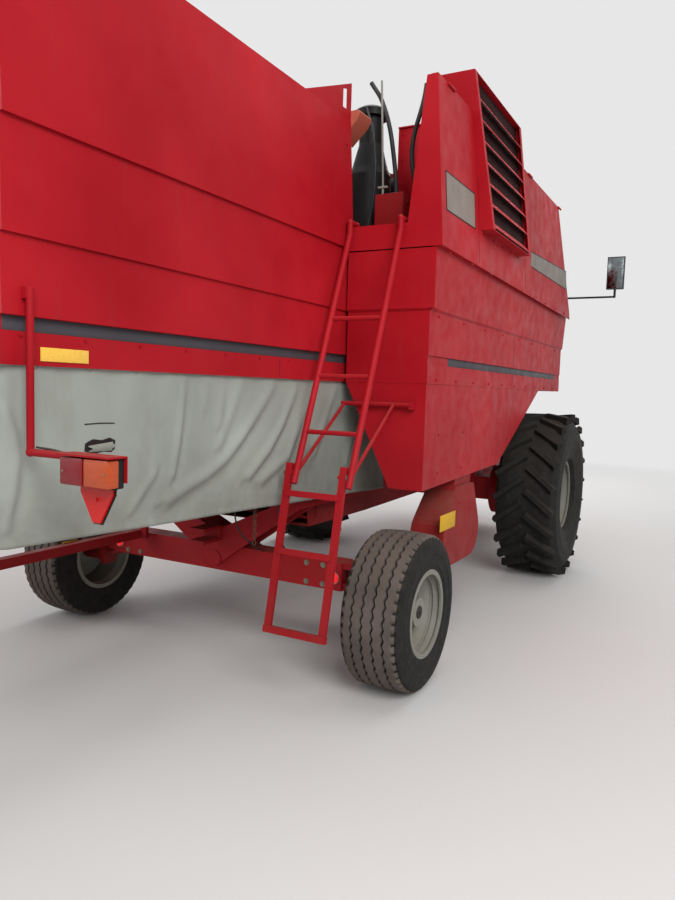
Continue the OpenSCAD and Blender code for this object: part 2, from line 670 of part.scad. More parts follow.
unload_z = cover_top + 40 + unload_r;
spout_len = 330;
module unloader() {
    foot = deck_top + 10 + gap;
    color(red) placed() difference() {
        union() {
            // turning foot, elbow and tube pointing to the rear
            translate([unload_x, unload_y, foot]) cylinder(r = unload_r, h = unload_z - foot, $fn = 48);
            translate([unload_x, unload_y, unload_z]) sphere(r = unload_r + 1, $fn = 48);
            translate([unload_x, unload_y, unload_z]) rotate([-90, 0, 0])
                cylinder(r = unload_r, h = unload_len, $fn = 48);
            translate([unload_x, unload_y + unload_len - 130, unload_z - spout_len])
                box([-150, -110, 0], [150, 130, spout_len]);
        }
        translate([unload_x, unload_y, foot - 1]) cylinder(r = socket_r + pin_play, h = 60, $fn = 48);
        // open end of the tube into the spout
        translate([unload_x, unload_y + unload_len - 230, unload_z]) rotate([-90, 0, 0])
            cylinder(r = unload_r - 6, h = 220, $fn = 48);
        translate([unload_x, unload_y + unload_len - 130, unload_z - spout_len])
            box([-140, -100, -1], [140, 120, spout_len]);
    }
}

// Straw hood: half section as [half width, height], outer surface, from the foot up.
hood_front = 3100;
module hood_outline() {
    h = hood_half;
    polygon([
        [h, line_low], [h, line_stripe - stripe_h], [h - 8, line_stripe - stripe_h],
        [h - 8, line_stripe], [h + 20, line_stripe], [h + 8, line_mid - 2], [h + 22, line_mid - 2],
        [h + 14, line_top + 16], [h + 30, line_top + 16], [h - 18, hood_top],
        [-h + 18, hood_top], [-h - 30, line_top + 16], [-h - 14, line_top + 16],
        [-h - 22, line_mid - 2], [-h - 8, line_mid - 2], [-h - 20, line_stripe], [-h + 8, line_stripe],
        [-h + 8, line_stripe - stripe_h], [-h, line_stripe - stripe_h], [-h, line_low]]);
}
module straw_hood() {
    color(red) placed() {
        difference() {
            along_y(hood_front, hood_rear) hood_outline();
            along_y(hood_front + 6, hood_rear - 6)
                polygon([[hood_half - 14, line_low - 1], [hood_half - 14, line_stripe],
                    [hood_half + 2, line_top + 10], [hood_half - 28, hood_top - 6],
                    [-hood_half + 28, hood_top - 6], [-hood_half - 2, line_top + 10],
                    [-hood_half + 14, line_stripe], [-hood_half + 14, line_low - 1]]);
            // the walker channel comes through the front wall
            box([-body_w_in - 1, hood_front - 1, 0], [body_w_in + 1, hood_front + 10, line_top - 40]);
        }
        // flanges seated on the threshing body's rear end, above the walkers
        both() box([body_w_in - 60, body_end + seat_gap, walker_low + 310], [hood_half - 14, hood_front + 1, body_top - 6]);
        // slotted tag panels that stand up at the front top corners
        both() difference() {
            along_x(hood_half - 24, hood_half - 20)
                polygon([[hood_front, hood_top - 60], [hood_front + 604, hood_top - 60],
                    [hood_front + 604, hood_top - 14], [hood_front, hood_top + 241]]);
            along_x(hood_half - 30, hood_half - 10)
                polygon([[hood_front + 60, hood_top + 60], [hood_front + 110, hood_top + 60],
                    [hood_front + 110, hood_top + 170], [hood_front + 60, hood_top + 185]]);
        }
    }
}

canvas_front = 2407;
canvas_low_front = 1038;
// Height of the canvas's lower edge at a place along the machine.
function hem(y) = canvas_low_front + (canvas_low - canvas_low_front) * (y - canvas_front) / (hood_rear - canvas_front);
module canvas_skirt() {
    x = hood_half - 14 - seat_gap;
    rear = hood_rear - 6 - seat_gap;
    side_end = rear - canvas_t - seat_gap;
    top = line_low + 90;
    color(canvas_grey) placed() {
        // side sheets; ahead of the hood's front wall they end at the side panels' foot
        both() along_x(x - canvas_t, x)
            polygon([[canvas_front, hem(canvas_front)], [side_end, hem(side_end)], [side_end, top],
                [hood_front + 40, top], [hood_front + 40, line_low - seat_gap], [canvas_front, line_low - seat_gap]]);
        // sheet across the rear
        box([-x, rear - canvas_t, canvas_low], [x, rear, top]);
    }
}

// Rear lamps on tubular frames beside the hood's rear corners.
lamp_y = hood_rear - 10;
lamp_z = 1470;
lamp_in = 1010;
lamp_w = 230;
hanger_z = line_mid - 187;   // top of the tubes that carry the lamps
module lamp_frames() {
    color(red) placed() both() {
        bar([hood_half + 40, lamp_y - 88, hanger_z], [hood_half + 40, lamp_y - 88, lamp_z + 40], 14);
        translate([hood_half + 40, lamp_y - 88, lamp_z + 40]) sphere(r = 17, $fn = 20);
        bar([hood_half + 40, lamp_y - 88, lamp_z + 40], [lamp_in + 90, lamp_y - 88, lamp_z + 40], 14);
        box([hood_half + 17.9, lamp_y - 108, hanger_z - 40], [hood_half + 44, lamp_y - 68, hanger_z]);
        // hood over the lamp and plate behind it
        box([lamp_in - 10, lamp_y - 76, lamp_z - 30], [lamp_in + lamp_w + 10, lamp_y - 72, lamp_z + 60]);
        box([lamp_in - 10, lamp_y - 76, lamp_z + 54], [lamp_in + lamp_w + 10, lamp_y + 6, lamp_z + 60]);
    }
}
module tail_lamps() {
    color([0.75, 0.15, 0.05]) placed() both() {
        box([lamp_in, lamp_y - 72 + seat_gap, lamp_z - 50], [lamp_in + lamp_w, lamp_y, lamp_z + 54 - seat_gap]);
        // round reflector on the beam's rear face
        translate([kingpin_x - 121, wheelbase + 75 + seat_gap, beam_top - 95]) rotate([-90, 0, 0])
            cylinder(r = 38, h = 14, $fn = 32);
        // amber reflector on the hood's lower strip
        box([hood_half + seat_gap, hood_rear - 401, line_low + 18], [hood_half + 4, hood_rear - 173, line_low + 70]);
        // triangular reflector below the lamp
        along_y(lamp_y - 72 + seat_gap, lamp_y - 56)
            polygon([[lamp_in + 35, lamp_z - 50], [lamp_in + lamp_w - 35, lamp_z - 50], [lamp_in + lamp_w / 2, lamp_z - 190]]);
    }
}

// Rear ladder
ladder_x = -955;          // the ladder's middle at its top
ladder_out = 60;          // how far its foot stands further out
ladder_top = [ladder_x, body_rear + lap + 40, 2757];
ladder_foot = [ladder_x - ladder_out, wheelbase + 457, 1290];
ladder_tail = 60;         // length of the upper stiles below the pivot
hook_rise = sill_top + stile_r + 2 + seat_gap - ladder_top.z;
ladder_slope = (ladder_foot - ladder_top) / norm(ladder_foot - ladder_top);
function on_ladder(f, s) = ladder_top + (ladder_foot - ladder_top) * f + [s * ladder_w / 2, 0, 0];
shelf_z = 1686;           // height of the bar behind the ladder
bar_w = 42;               // lower section's flat stiles
bar_t = 22;
stile_shift = stile_r + gap + bar_w / 2;
module upper_ladder() {
    color(red) placed() {
        for (s = [-1, 1]) {
            bar(on_ladder(0, s), on_ladder(1, s) + ladder_slope * ladder_tail, stile_r);
            translate(on_ladder(0, s)) sphere(r = stile_r + 2, $fn = 20);
            // hook over the sill
            bar(on_ladder(0, s), on_ladder(0, s) + [0, 0, hook_rise], stile_r);
            translate(on_ladder(0, s) + [0, 0, hook_rise]) sphere(r = stile_r + 2, $fn = 20);
            bar(on_ladder(0, s) + [0, 0, hook_rise], on_ladder(0, s) + [0, -90, hook_rise], stile_r);
            translate(on_ladder(0, s) + [0, -90, hook_rise]) sphere(r = stile_r + 2, $fn = 20);
            bar(on_ladder(0, s) + [0, -90, hook_rise], on_ladder(0, s) + [0, -96, hook_rise - 60], stile_r);
            // strut back to the bar on the shield
            bar([on_ladder(0.9, s).x + 70, body_rear + 30, shelf_z], on_ladder(1, s), 11);
            // pin that carries the lower section
            translate(on_ladder(1, s)) rotate([0, 90, 0])
                cylinder(r = hinge_r, h = stile_shift + bar_w / 2 + 12, $fn = 24);
        }
        for (f = [0.38, 0.62, 0.84]) bar(on_ladder(f, -1), on_ladder(f, 1), 14);
        bar([-hood_half - 25, body_rear + 30, shelf_z], [-1240, body_rear + 30, shelf_z], 14);
        box([-1250, body_rear - 2 + seat_gap, shelf_z - 26], [-1220, body_rear + 40, shelf_z + 26]);
    }
}
lower_pivot = ladder_foot + [stile_shift, 0, 0];
lower_dy = 187;
lower_drop = 865;
lower_head = 58;          // length of its stiles above the pivot
hinge_r = 9;
module lower_ladder() {
    lean = atan2(lower_dy, lower_drop);
    len = norm([lower_dy, lower_drop]);
    color(red) placed() translate(lower_pivot) rotate([lean, 0, 0]) difference() {
        union() {
            for (s = [-1, 1]) translate([s * ladder_w / 2, 0, 0])
                box([-bar_w / 2, -bar_t / 2, -len], [bar_w / 2, bar_t / 2, lower_head]);
            for (f = [0.13, 0.5])
                box([-ladder_w / 2, -bar_t / 2 - 6, -len * f - 17], [ladder_w / 2, bar_t / 2 + 6, -len * f + 17]);
            // foot tread
            box([-ladder_w / 2 - bar_w / 2, -bar_t / 2 - 8, -len - 12], [ladder_w / 2 + bar_w / 2, bar_t / 2 + 8, -len + 26]);
        }
        translate([-ladder_w, 0, 0]) rotate([0, 90, 0])
            cylinder(r = hinge_r + pin_play, h = 2 * ladder_w, $fn = 24);
    }
}

boot_y = wheelbase - rear_tyre_r - 568;  // middle of the elevator's boot
boot_r = 190;
leg_out = 1300;
leg_top = deck_top - 6 - seat_gap;
module grain_elevator() {
    color(dark_red) placed() {
        // rounded boot, leg rising forward inside the side panels
        along_x(-leg_out - 36, -leg_out + 210) hull() {
            for (d = [-195, 195]) translate([boot_y + d, boot_r * 4]) circle(r = boot_r, $fn = 32);
            translate([boot_y - 75, boot_r * 4 + 340]) square([300, 20], center = true);
        }
        along_x(-leg_out, -leg_out + boot_r)
            polygon([[boot_y - 225, 1050], [boot_y + 115, 1050], [boot_y - 245, leg_top], [boot_y - 585, leg_top]]);
    }
}

fuel_in = body_w_in + 260;
fuel_out = body_half - 31;
fuel_z = body_low + 420;
fuel_len = 1020;
fuel_rear = boot_y + 305;
fuel_front = fuel_rear - fuel_len;
fuel_h = 300;
fuel_round = 60;
module fuel_tank() {
    color(black) placed() {
        along_x(fuel_in, fuel_out) hull() {
            for (y = [fuel_front + fuel_round, fuel_rear - fuel_round], z = [fuel_z, fuel_z + fuel_h - 2 * fuel_round])
                translate([y, z]) circle(r = fuel_round, $fn = 32);
        }
        for (y = [boot_y - 505, boot_y - 105]) box([body_w_in + seat_gap, y, fuel_z + 40], [fuel_in, y + 60, fuel_z + 80]);
    }
}

// Pulleys beside the threshing body as [side, y, z, radius].
belt_y = fuel_front - 380;
PULLEYS = [[RIGHT, 300, 1500, 260], [RIGHT, belt_y + 200, 1420, 160], [LEFT, 300, 1500, 300], [LEFT, belt_y, 1700, 180]];
module drive_belts() {
    color(black) placed() for (p = PULLEYS) scale_x(p[0]) translate([body_w_in + seat_gap, p[1], p[2]])
        rotate([0, 90, 0]) {
            cylinder(r = 28, h = 330, $fn = 32);
            translate([0, 0, 250]) cylinder(r = p[3], h = 60, $fn = 48);
        }
}

// Feeder house, drawn level with its pivot at the origin and its mouth towards -Y.
module feeder_place() {
    placed() translate([0, feeder_pivot_y, feeder_pivot_z]) rotate([feeder_tilt, 0, 0]) children();
}
plate_t = 8;
header_hole_z = 260;
header_hole_r = 11;
lift_eye_y = -1150;
lift_eye_drop = 50;
lift_pin_r = 20;
lift_x = feeder_w / 2 - 10;      // middle of the cylinders' eyes
module feeder_house() {
    x1 = feeder_w / 2;
    frame_y = -feeder_len + 60;       // rear face of the mouth's frame
    color(red) feeder_place() {
        // side plates, round about the pivot, each with its trunnion and its lift cylinder's ear
        both() {
            along_x(x1 - plate_t, x1) hull() {
                circle(r = feeder_back_h / 2, $fn = 64);
                translate([frame_y + seat_gap, -feeder_h / 2 + 2]) square([10, feeder_h - 4]);
            }
            translate([x1 - 2, 0, 0]) rotate([0, 90, 0]) cylinder(r = trunnion_r, h = cheek_w, $fn = 40);
        }
        // floor and roof between them, open at both ends
        for (d = [-1, 1]) along_x(-x1 + plate_t + seat_gap, x1 - plate_t - seat_gap)
            polygon([[-10, d * feeder_back_h / 2], [frame_y + seat_gap, d * (feeder_h / 2 - 2)],
                [frame_y + seat_gap, d * (feeder_h / 2 - 2 - plate_t)], [-10, d * (feeder_back_h / 2 - plate_t)]]);
        // ears and pins for the lift cylinders, below the floor
        both() {
            box([lift_x - 85, lift_eye_y - 50, -feeder_h / 2 - lift_eye_drop - 40],
                [lift_x - 55, lift_eye_y + 50, -feeder_back_h / 2 - 12]);
            translate([lift_x - 85, lift_eye_y, -feeder_h / 2 - lift_eye_drop]) rotate([0, 90, 0])
                cylinder(r = lift_pin_r, h = 118, $fn = 32);
        }
        // frame round the mouth that takes the header: two posts, then a sill and a lintel
        both() difference() {
            box([x1 - plate_t, -feeder_len, -feeder_h / 2 - mouth_rim], [x1 + 70, frame_y, feeder_h / 2 + mouth_rim]);
            for (z = [-header_hole_z, header_hole_z]) translate([x1 + 38, -feeder_len - 1, z])
                rotate([-90, 0, 0]) cylinder(r = header_hole_r, h = 70, $fn = 32);
        }
        for (d = [-1, 1]) scale([1, 1, d])
            box([-x1 + plate_t + seat_gap, -feeder_len, feeder_h / 2 - plate_t],
                [x1 - plate_t - seat_gap, frame_y, feeder_h / 2 + mouth_rim]);
    }
}

drum_y = -feeder_len + 340;
drum_r = 140;
slat_gap = 190;
module feeder_chain() {
    inner = feeder_w / 2 - plate_t - seat_gap;
    chain_rear = -80;
    color(steel) feeder_place() {
        for (y = [drum_y, chain_rear]) translate([-inner, y, 0]) rotate([0, 90, 0])
            cylinder(r = 30, h = 2 * inner, $fn = 32);
        translate([-inner + 15, drum_y, 0]) rotate([0, 90, 0]) cylinder(r = drum_r, h = 2 * inner - 30, $fn = 48);
        translate([-inner + 60, chain_rear, 0]) rotate([0, 90, 0]) cylinder(r = 110, h = 2 * inner - 120, $fn = 48);
        // chain strands along both runs, with a slat across every few links
        for (x = [-380, 0, 380]) {
            along_x(x - 15, x + 15) polygon([[drum_y, drum_r + 8], [chain_rear, 118],
                [chain_rear, 104], [drum_y, drum_r - 6]]);
            along_x(x - 15, x + 15) polygon([[drum_y, -drum_r - 8], [chain_rear, -118],
                [chain_rear, -104], [drum_y, -drum_r + 6]]);
        }
        for (i = [0:floor((chain_rear - drum_y) / slat_gap)]) {
            y = drum_y + i * slat_gap;
            f = (y - drum_y) / (chain_rear - drum_y);
            z = drum_r * (1 - f) + 110 * f - 9;
            for (d = [-1, 1]) box([-inner + 50, y + 5, d > 0 ? z : -z - 50], [inner - 50, y + 15, d > 0 ? z + 50 : -z]);
        }
    }
}

// Lift cylinders between the front axle and the feeder house.
lift_base = [0, -200, 840];
lift_eye = [0, lift_eye_y, -feeder_h / 2 - lift_eye_drop];
lift_end = [0, feeder_pivot_y + lift_eye.y * cos(feeder_tilt) - lift_eye.z * sin(feeder_tilt),
    feeder_pivot_z + lift_eye.y * sin(feeder_tilt) + lift_eye.z * cos(feeder_tilt)];
lift_l = norm(lift_end - lift_base);
lift_lean = acos((lift_end - lift_base).z / lift_l);
module lift_place(s) { translate(lift_base + [s * lift_x, 0, 0]) rotate([lift_lean, 0, 0]) children(); }
module lift_barrels() {
    color(black) placed() for (s = [-1, 1]) lift_place(s) {
        difference() {
            union() {
                rotate([0, 90, 0]) cylinder(r = 40, h = 50, center = true, $fn = 32);
                translate([0, 0, 25]) cylinder(r = lift_r, h = lift_l * 0.55, $fn = 32);
            }
            rotate([0, 90, 0]) cylinder(r = lift_pin_r + pin_play, h = 60, center = true, $fn = 32);
            translate([0, 0, 60]) cylinder(r = lift_r - 14 + pin_play, h = lift_l, $fn = 32);
        }
    }
}
module lift_rods() {
    color(steel) placed() for (s = [-1, 1]) lift_place(s) difference() {
        union() {
            translate([0, 0, lift_l * 0.35]) cylinder(r = lift_r - 14, h = lift_l * 0.65 - 32, $fn = 32);
            translate([0, 0, lift_l]) rotate([0, 90, 0]) cylinder(r = 40, h = 50, center = true, $fn = 32);
        }
        // the eye's hole is wide, as the linkage is opened here
        translate([0, 0, lift_l]) rotate([0, 90, 0]) cylinder(r = lift_pin_r + 7, h = 60, center = true, $fn = 32);
    }
}

// Cab
cab_rear = -body_ahead - 40;
cab_front = cab_rear - cab_len;
glass_low = cab_floor + 420;
glass_top = cab_roof_top - 200;
pillar = 70;
door_w = 620;
door_y1 = cab_rear - pillar;             // hinge side
door_y0 = door_y1 - door_w;
hinge_out = 12;       // how far the hinge pins stand outside the door
hinge_z = [cab_floor + 206, glass_top - 300];
module cab_shell() {
    color(red) placed() {
        difference() {
            box([-cab_half, cab_front, cab_floor - 60], [cab_half, cab_rear, cab_roof_top - 110]);
            box([-cab_half + cab_wall, cab_front + cab_wall, cab_floor],
                [cab_half - cab_wall, cab_rear - cab_wall, cab_roof_top - 100]);
            // windscreen, right window, rear window
            box([-cab_half + pillar, cab_front - 1, cab_floor + 160],
                [cab_half - pillar, cab_front + cab_wall + 1, glass_top]);
            box([-cab_half - 1, cab_front + pillar, glass_low],
                [-cab_half + cab_wall + 1, cab_rear - pillar, glass_top]);
            box([-cab_half + 200, cab_rear - cab_wall - 1, glass_low + 300],
                [cab_half - 200, cab_rear + 1, glass_top]);
            // left side: fixed window ahead of the doorway
            box([cab_half - cab_wall - 1, cab_front + pillar, glass_low],
                [cab_half + 1, door_y0 - pillar, glass_top]);
            box([cab_half - cab_wall - 1, door_y0, cab_floor + 20], [cab_half + 1, door_y1, glass_top]);
        }
        // hinge pins with their ears
        for (z = hinge_z) {
            translate([cab_half + hinge_out, door_y1, z - 16]) cylinder(r = 6, h = 92, $fn = 24);
            for (d = [-16, 61]) {
                translate([cab_half + hinge_out, door_y1, z + d]) cylinder(r = 9, h = 15, $fn = 24);
                box([cab_half - 1, door_y1 + 2, z + d], [cab_half + hinge_out + 9, door_y1 + 32, z + d + 15]);
            }
        }
        // bearers that carry the cab on the body's front
        both() box([500, cab_front + 100, cab_floor - 160], [600, body_face - seat_gap, cab_floor - 60]);
    }
}
module cab_roof() {
    color(red) placed() {
        along_y(cab_front - 120, cab_rear + 20)
            polygon([[-cab_half - 40, cab_roof_top - 110 + seat_gap], [cab_half + 40, cab_roof_top - 110 + seat_gap],
                [cab_half + 40, cab_roof_top - 50], [cab_half - 80, cab_roof_top], [-cab_half + 80, cab_roof_top],
                [-cab_half - 40, cab_roof_top - 50]]);
    }
}
module cab_glass() {
    color(glass_blue) placed() {
        box([-cab_half + pillar + seat_gap, cab_front + 20, cab_floor + 160 + seat_gap],
            [cab_half - pillar - seat_gap, cab_front + 20 + glass_t, glass_top - seat_gap]);
        box([-cab_half + 20, cab_front + pillar + seat_gap, glass_low + seat_gap],
            [-cab_half + 20 + glass_t, cab_rear - pillar - seat_gap, glass_top - seat_gap]);
        box([cab_half - 20 - glass_t, cab_front + pillar + seat_gap, glass_low + seat_gap],
            [cab_half - 20, door_y0 - pillar - seat_gap, glass_top - seat_gap]);
        box([-cab_half + 200 + seat_gap, cab_rear - 20 - glass_t, glass_low + 300 + seat_gap],
            [cab_half - 200 - seat_gap, cab_rear - 20, glass_top - seat_gap]);
    }
}
door_low = cab_floor + 26;
door_rail = 55;       // width of the door's frame round its glass
module cab_door() {
    y0 = door_y0 + gap;
    y1 = door_y1 - gap;
    color(red) placed() {
        difference() {
            box([cab_half - cab_wall + 4, y0, door_low], [cab_half, y1, glass_top - gap]);
            box([cab_half - cab_wall, y0 + door_rail, cab_floor + 300],
                [cab_half + 1, y1 - door_rail, glass_top - gap - door_rail]);
        }
        // handle
        box([cab_half - 1, y0 + 16, cab_floor + 900], [cab_half + 40, y0 + 36, cab_floor + 920]);
        box([cab_half - 1, y0 + 16, cab_floor + 1040], [cab_half + 40, y0 + 36, cab_floor + 1060]);
        box([cab_half + 25, y0 + 16, cab_floor + 900], [cab_half + 40, y0 + 36, cab_floor + 1060]);
        // hinge knuckles
        for (z = hinge_z) difference() {
            union() {
                translate([cab_half + hinge_out, door_y1, z]) cylinder(r = 10, h = 60, $fn = 24);
                box([cab_half - 1, y1 - 40, z], [cab_half + hinge_out + 4, y1, z + 60]);
                box([cab_half + 3, y1 - 1, z], [cab_half + hinge_out + 4, door_y1, z + 60]);
            }
            translate([cab_half + hinge_out, door_y1, z - 1]) cylinder(r = 6 + pin_play, h = 62, $fn = 24);
        }
    }
}
module door_glass() {
    y0 = door_y0 + gap + door_rail;
    y1 = door_y1 - gap - door_rail;
    color(glass_blue) placed()
        box([cab_half - 30, y0 + seat_gap, cab_floor + 300 + seat_gap],
            [cab_half - 30 + glass_t, y1 - seat_gap, glass_top - gap - door_rail - seat_gap]);
}
seat_y = cab_rear - 480;
module seat() {
    color(black) placed() translate([0, seat_y, cab_floor + seat_gap]) {
        cylinder(r = 90, h = 300, $fn = 32);
        box([-240, -260, 300], [240, 240, 420]);
        along_x(-230, 230) polygon([[180, 400], [240, 380], [330, 880], [240, 900], [170, 500]]);
    }
}
module steering_column() {
    color(black) placed() translate([0, cab_front + 330, cab_floor + seat_gap]) {
        box([-70, -80, 0], [70, 80, 60]);
        bar([0, 0, 40], [0, 130, 740], 32);
        translate([0, 130, 740]) rotate([-12, 0, 0]) {
            rotate_extrude($fn = 48) translate([200, 0]) circle(r = 15, $fn = 20);
            cylinder(r = 40, h = 20, center = true, $fn = 32);
            for (a = [0, 120, 240]) rotate([0, 0, a + 90]) box([0, -12, -6], [195, 12, 6]);
        }
    }
}

rail_out = 650;       // the hand rail's place out from the platform's inner edge
module platform() {
    px = cab_half + 30;
    color(red) placed() {
        box([px, cab_front + 150, cab_floor - 80], [px + rail_out + 30, cab_rear - 20, cab_floor - 40]);
        box([600, cab_front + 300, cab_floor - 120], [px + 300, cab_front + 380, cab_floor - 79]);
        box([600, cab_rear - 200, cab_floor - 120], [px + 300, cab_rear - 120, cab_floor - 79]);
        // hand rail
        for (y = [cab_front + 190, cab_rear - 60])
            bar([px + rail_out, y, cab_floor - 50], [px + rail_out, y, cab_floor + 900], 16);
        bar([px + rail_out, cab_front + 190 - 15, cab_floor + 900], [px + rail_out, cab_rear - 60 + 15, cab_floor + 900], 18);
        bar([px + rail_out, cab_front + 190, cab_floor + 450], [px + rail_out, cab_rear - 60, cab_floor + 450], 13);
        // front ladder
        for (x = [px + 90, px + 470]) bar([x, cab_front + 180, cab_floor - 60], [x, cab_front - 60, 560], 18);
        for (f = [0.2, 0.45, 0.7, 0.95])
            box([px + 80, cab_front + 180 - 240 * f - 50, cab_floor - 60 - 1340 * f],
                [px + 480, cab_front + 180 - 240 * f + 50, cab_floor - 40 - 1340 * f]);
    }
}

mirror_x = 1640;
mirror_y = cab_front + 35;
mirror_arm_z = 3010;
module mirrors() {
    color(black) placed() both() {
        box([mirror_x - 100, mirror_y - 22, mirror_arm_z + 90], [mirror_x + 100, mirror_y + 22, mirror_arm_z + 480]);
        box([cab_half + seat_gap, mirror_y - 20, mirror_arm_z - 40], [cab_half + 8, mirror_y + 20, mirror_arm_z + 40]);
        bar([cab_half + 4, mirror_y, mirror_arm_z], [mirror_x, mirror_y, mirror_arm_z], 12);
        translate([mirror_x, mirror_y, mirror_arm_z - 12]) cylinder(r = 14, h = 110, $fn = 24);
    }
}
module work_lamps() {
    color(steel) placed() {
        for (x = [-600, -250, 250, 600])
            translate([x, cab_front - 120 - seat_gap, cab_roof_top - 80]) rotate([90, 0, 0]) cylinder(r = 50, h = 40, $fn = 32);
    }
}

main_frame();
front_axle();
threshing_body();
cleaning_shoe();
straw_walkers();
side_panels();
lower_shields();
upper_covers();
air_intake();
engine_deck();
engine();
radiator();
air_cleaner();
exhaust();
grain_tank();
straw_hood();
canvas_skirt();
lamp_frames();
tail_lamps();
upper_ladder();
rear_axle();
grain_elevator();
fuel_tank();
cab_shell();
cab_roof();
cab_glass();
seat();
steering_column();
platform();
mirrors();
work_lamps();
drive_belts();
front_wheel_place(LEFT) front_tyre();  // front_tyre_left
front_wheel_place(RIGHT) front_tyre();  // front_tyre_right
front_wheel_place(LEFT) front_rim();  // front_rim_left
front_wheel_place(RIGHT) front_rim();  // front_rim_right
rear_wheel_place(LEFT) rear_tyre();  // rear_tyre_left
rear_wheel_place(RIGHT) rear_tyre();  // rear_tyre_right
rear_wheel_place(LEFT) rear_rim();  // rear_rim_left
rear_wheel_place(RIGHT) rear_rim();  // rear_rim_right
knuckle_left();
knuckle_right();
tie_rod();
feeder_house();
feeder_chain();
lift_barrels();
lift_rods();
unloader();
cab_door();
door_glass();
tank_lid(LEFT);  // tank_lid_left
tank_lid(RIGHT);  // tank_lid_right
lower_ladder();
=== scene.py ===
"""Looks of a combine harvester without its header: paint, canvas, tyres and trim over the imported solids."""

import math

import bmesh
import bpy
from bpy.props import FloatProperty, FloatVectorProperty, IntProperty, PointerProperty
from mathutils import Matrix, Vector, noise


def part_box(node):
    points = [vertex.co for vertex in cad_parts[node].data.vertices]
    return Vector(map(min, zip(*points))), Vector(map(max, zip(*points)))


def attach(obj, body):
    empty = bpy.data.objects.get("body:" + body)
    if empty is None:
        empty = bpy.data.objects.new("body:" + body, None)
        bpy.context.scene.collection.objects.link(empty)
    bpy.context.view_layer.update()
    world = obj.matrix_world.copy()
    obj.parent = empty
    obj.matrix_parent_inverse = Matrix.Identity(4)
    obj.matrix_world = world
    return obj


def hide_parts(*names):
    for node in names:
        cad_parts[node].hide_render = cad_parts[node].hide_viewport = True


bl_info = {
    "name": "Combine harvester looks",
    "version": (1, 0, 0),
    "blender": (4, 5, 0),
    "location": "View3D > Sidebar > Harvester",
    "description": "Paints and trims a combine harvester parked on its wheels",
    "category": "Object",
}

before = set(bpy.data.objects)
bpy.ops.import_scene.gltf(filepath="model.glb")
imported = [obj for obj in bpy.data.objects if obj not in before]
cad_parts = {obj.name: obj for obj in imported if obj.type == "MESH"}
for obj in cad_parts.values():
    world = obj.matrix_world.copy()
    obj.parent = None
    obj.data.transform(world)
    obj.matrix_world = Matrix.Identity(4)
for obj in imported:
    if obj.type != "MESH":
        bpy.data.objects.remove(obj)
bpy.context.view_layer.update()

# The drawing counts lengths along Y from the front axle.
AXLE_Y = sum(v.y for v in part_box("front_rim_left")) / 2


def at(x, y, z):
    """A place given in millimetres, y behind the front axle, as a point in metres."""
    return Vector((x / 1000, AXLE_Y + y / 1000, z / 1000))


def srgb(r, g, b):
    """A colour as it looks on a screen, 0 to 1, turned into Blender's linear values."""
    return tuple(c / 12.92 if c <= 0.04045 else ((c + 0.055) / 1.055) ** 2.4 for c in (r, g, b))


def shade(colour, times, plus=0.0):
    """A colour made lighter or darker."""
    return tuple(min(1, c * times + plus) for c in colour)


def colour_of(name, default, words):
    return FloatVectorProperty(
        name=name, description=words, default=srgb(*default), subtype="COLOR", size=3, min=0, max=1
    )


def length_of(name, default, words):
    return FloatProperty(name=name, description=words, default=default, unit="LENGTH")


class HarvesterColours(bpy.types.PropertyGroup):
    red: colour_of("Body red", (0.64, 0.045, 0.10), "Paint of the body, hood, frame and ladder")
    underside: colour_of("Underside red", (0.54, 0.065, 0.085), "Dustier red of the axle, elevator and frame")
    stripe: colour_of("Stripe grey", (0.27, 0.26, 0.28), "Sunken stripe along both sides")
    decal: colour_of("Band grey", (0.50, 0.46, 0.43), "Blank bands and plates on the upper cover")
    rim: colour_of("Rim grey", (0.52, 0.52, 0.485), "Paint of the wheel rims")
    canvas: colour_of("Canvas", (0.56, 0.575, 0.545), "Cloth of the skirt below the hood")
    dust: colour_of("Dust", (0.47, 0.42, 0.36), "Dust and chaff that lie on everything")


class HarvesterSizes(bpy.types.PropertyGroup):
    fold_depth: length_of("Wave depth", 0.020, "Depth of the slow waves in the canvas skirt")
    eyelet_gap: length_of("Eyelet gap", 0.26, "Distance between the canvas's eyelets")
    groove_depth: length_of("Groove depth", 0.013, "Depth of the grooves in the rear tyres")
    tread_steps: IntProperty(
        name="Tread zigzags", description="Zigzags round each rear tyre's tread", default=48, min=24
    )


# Materials


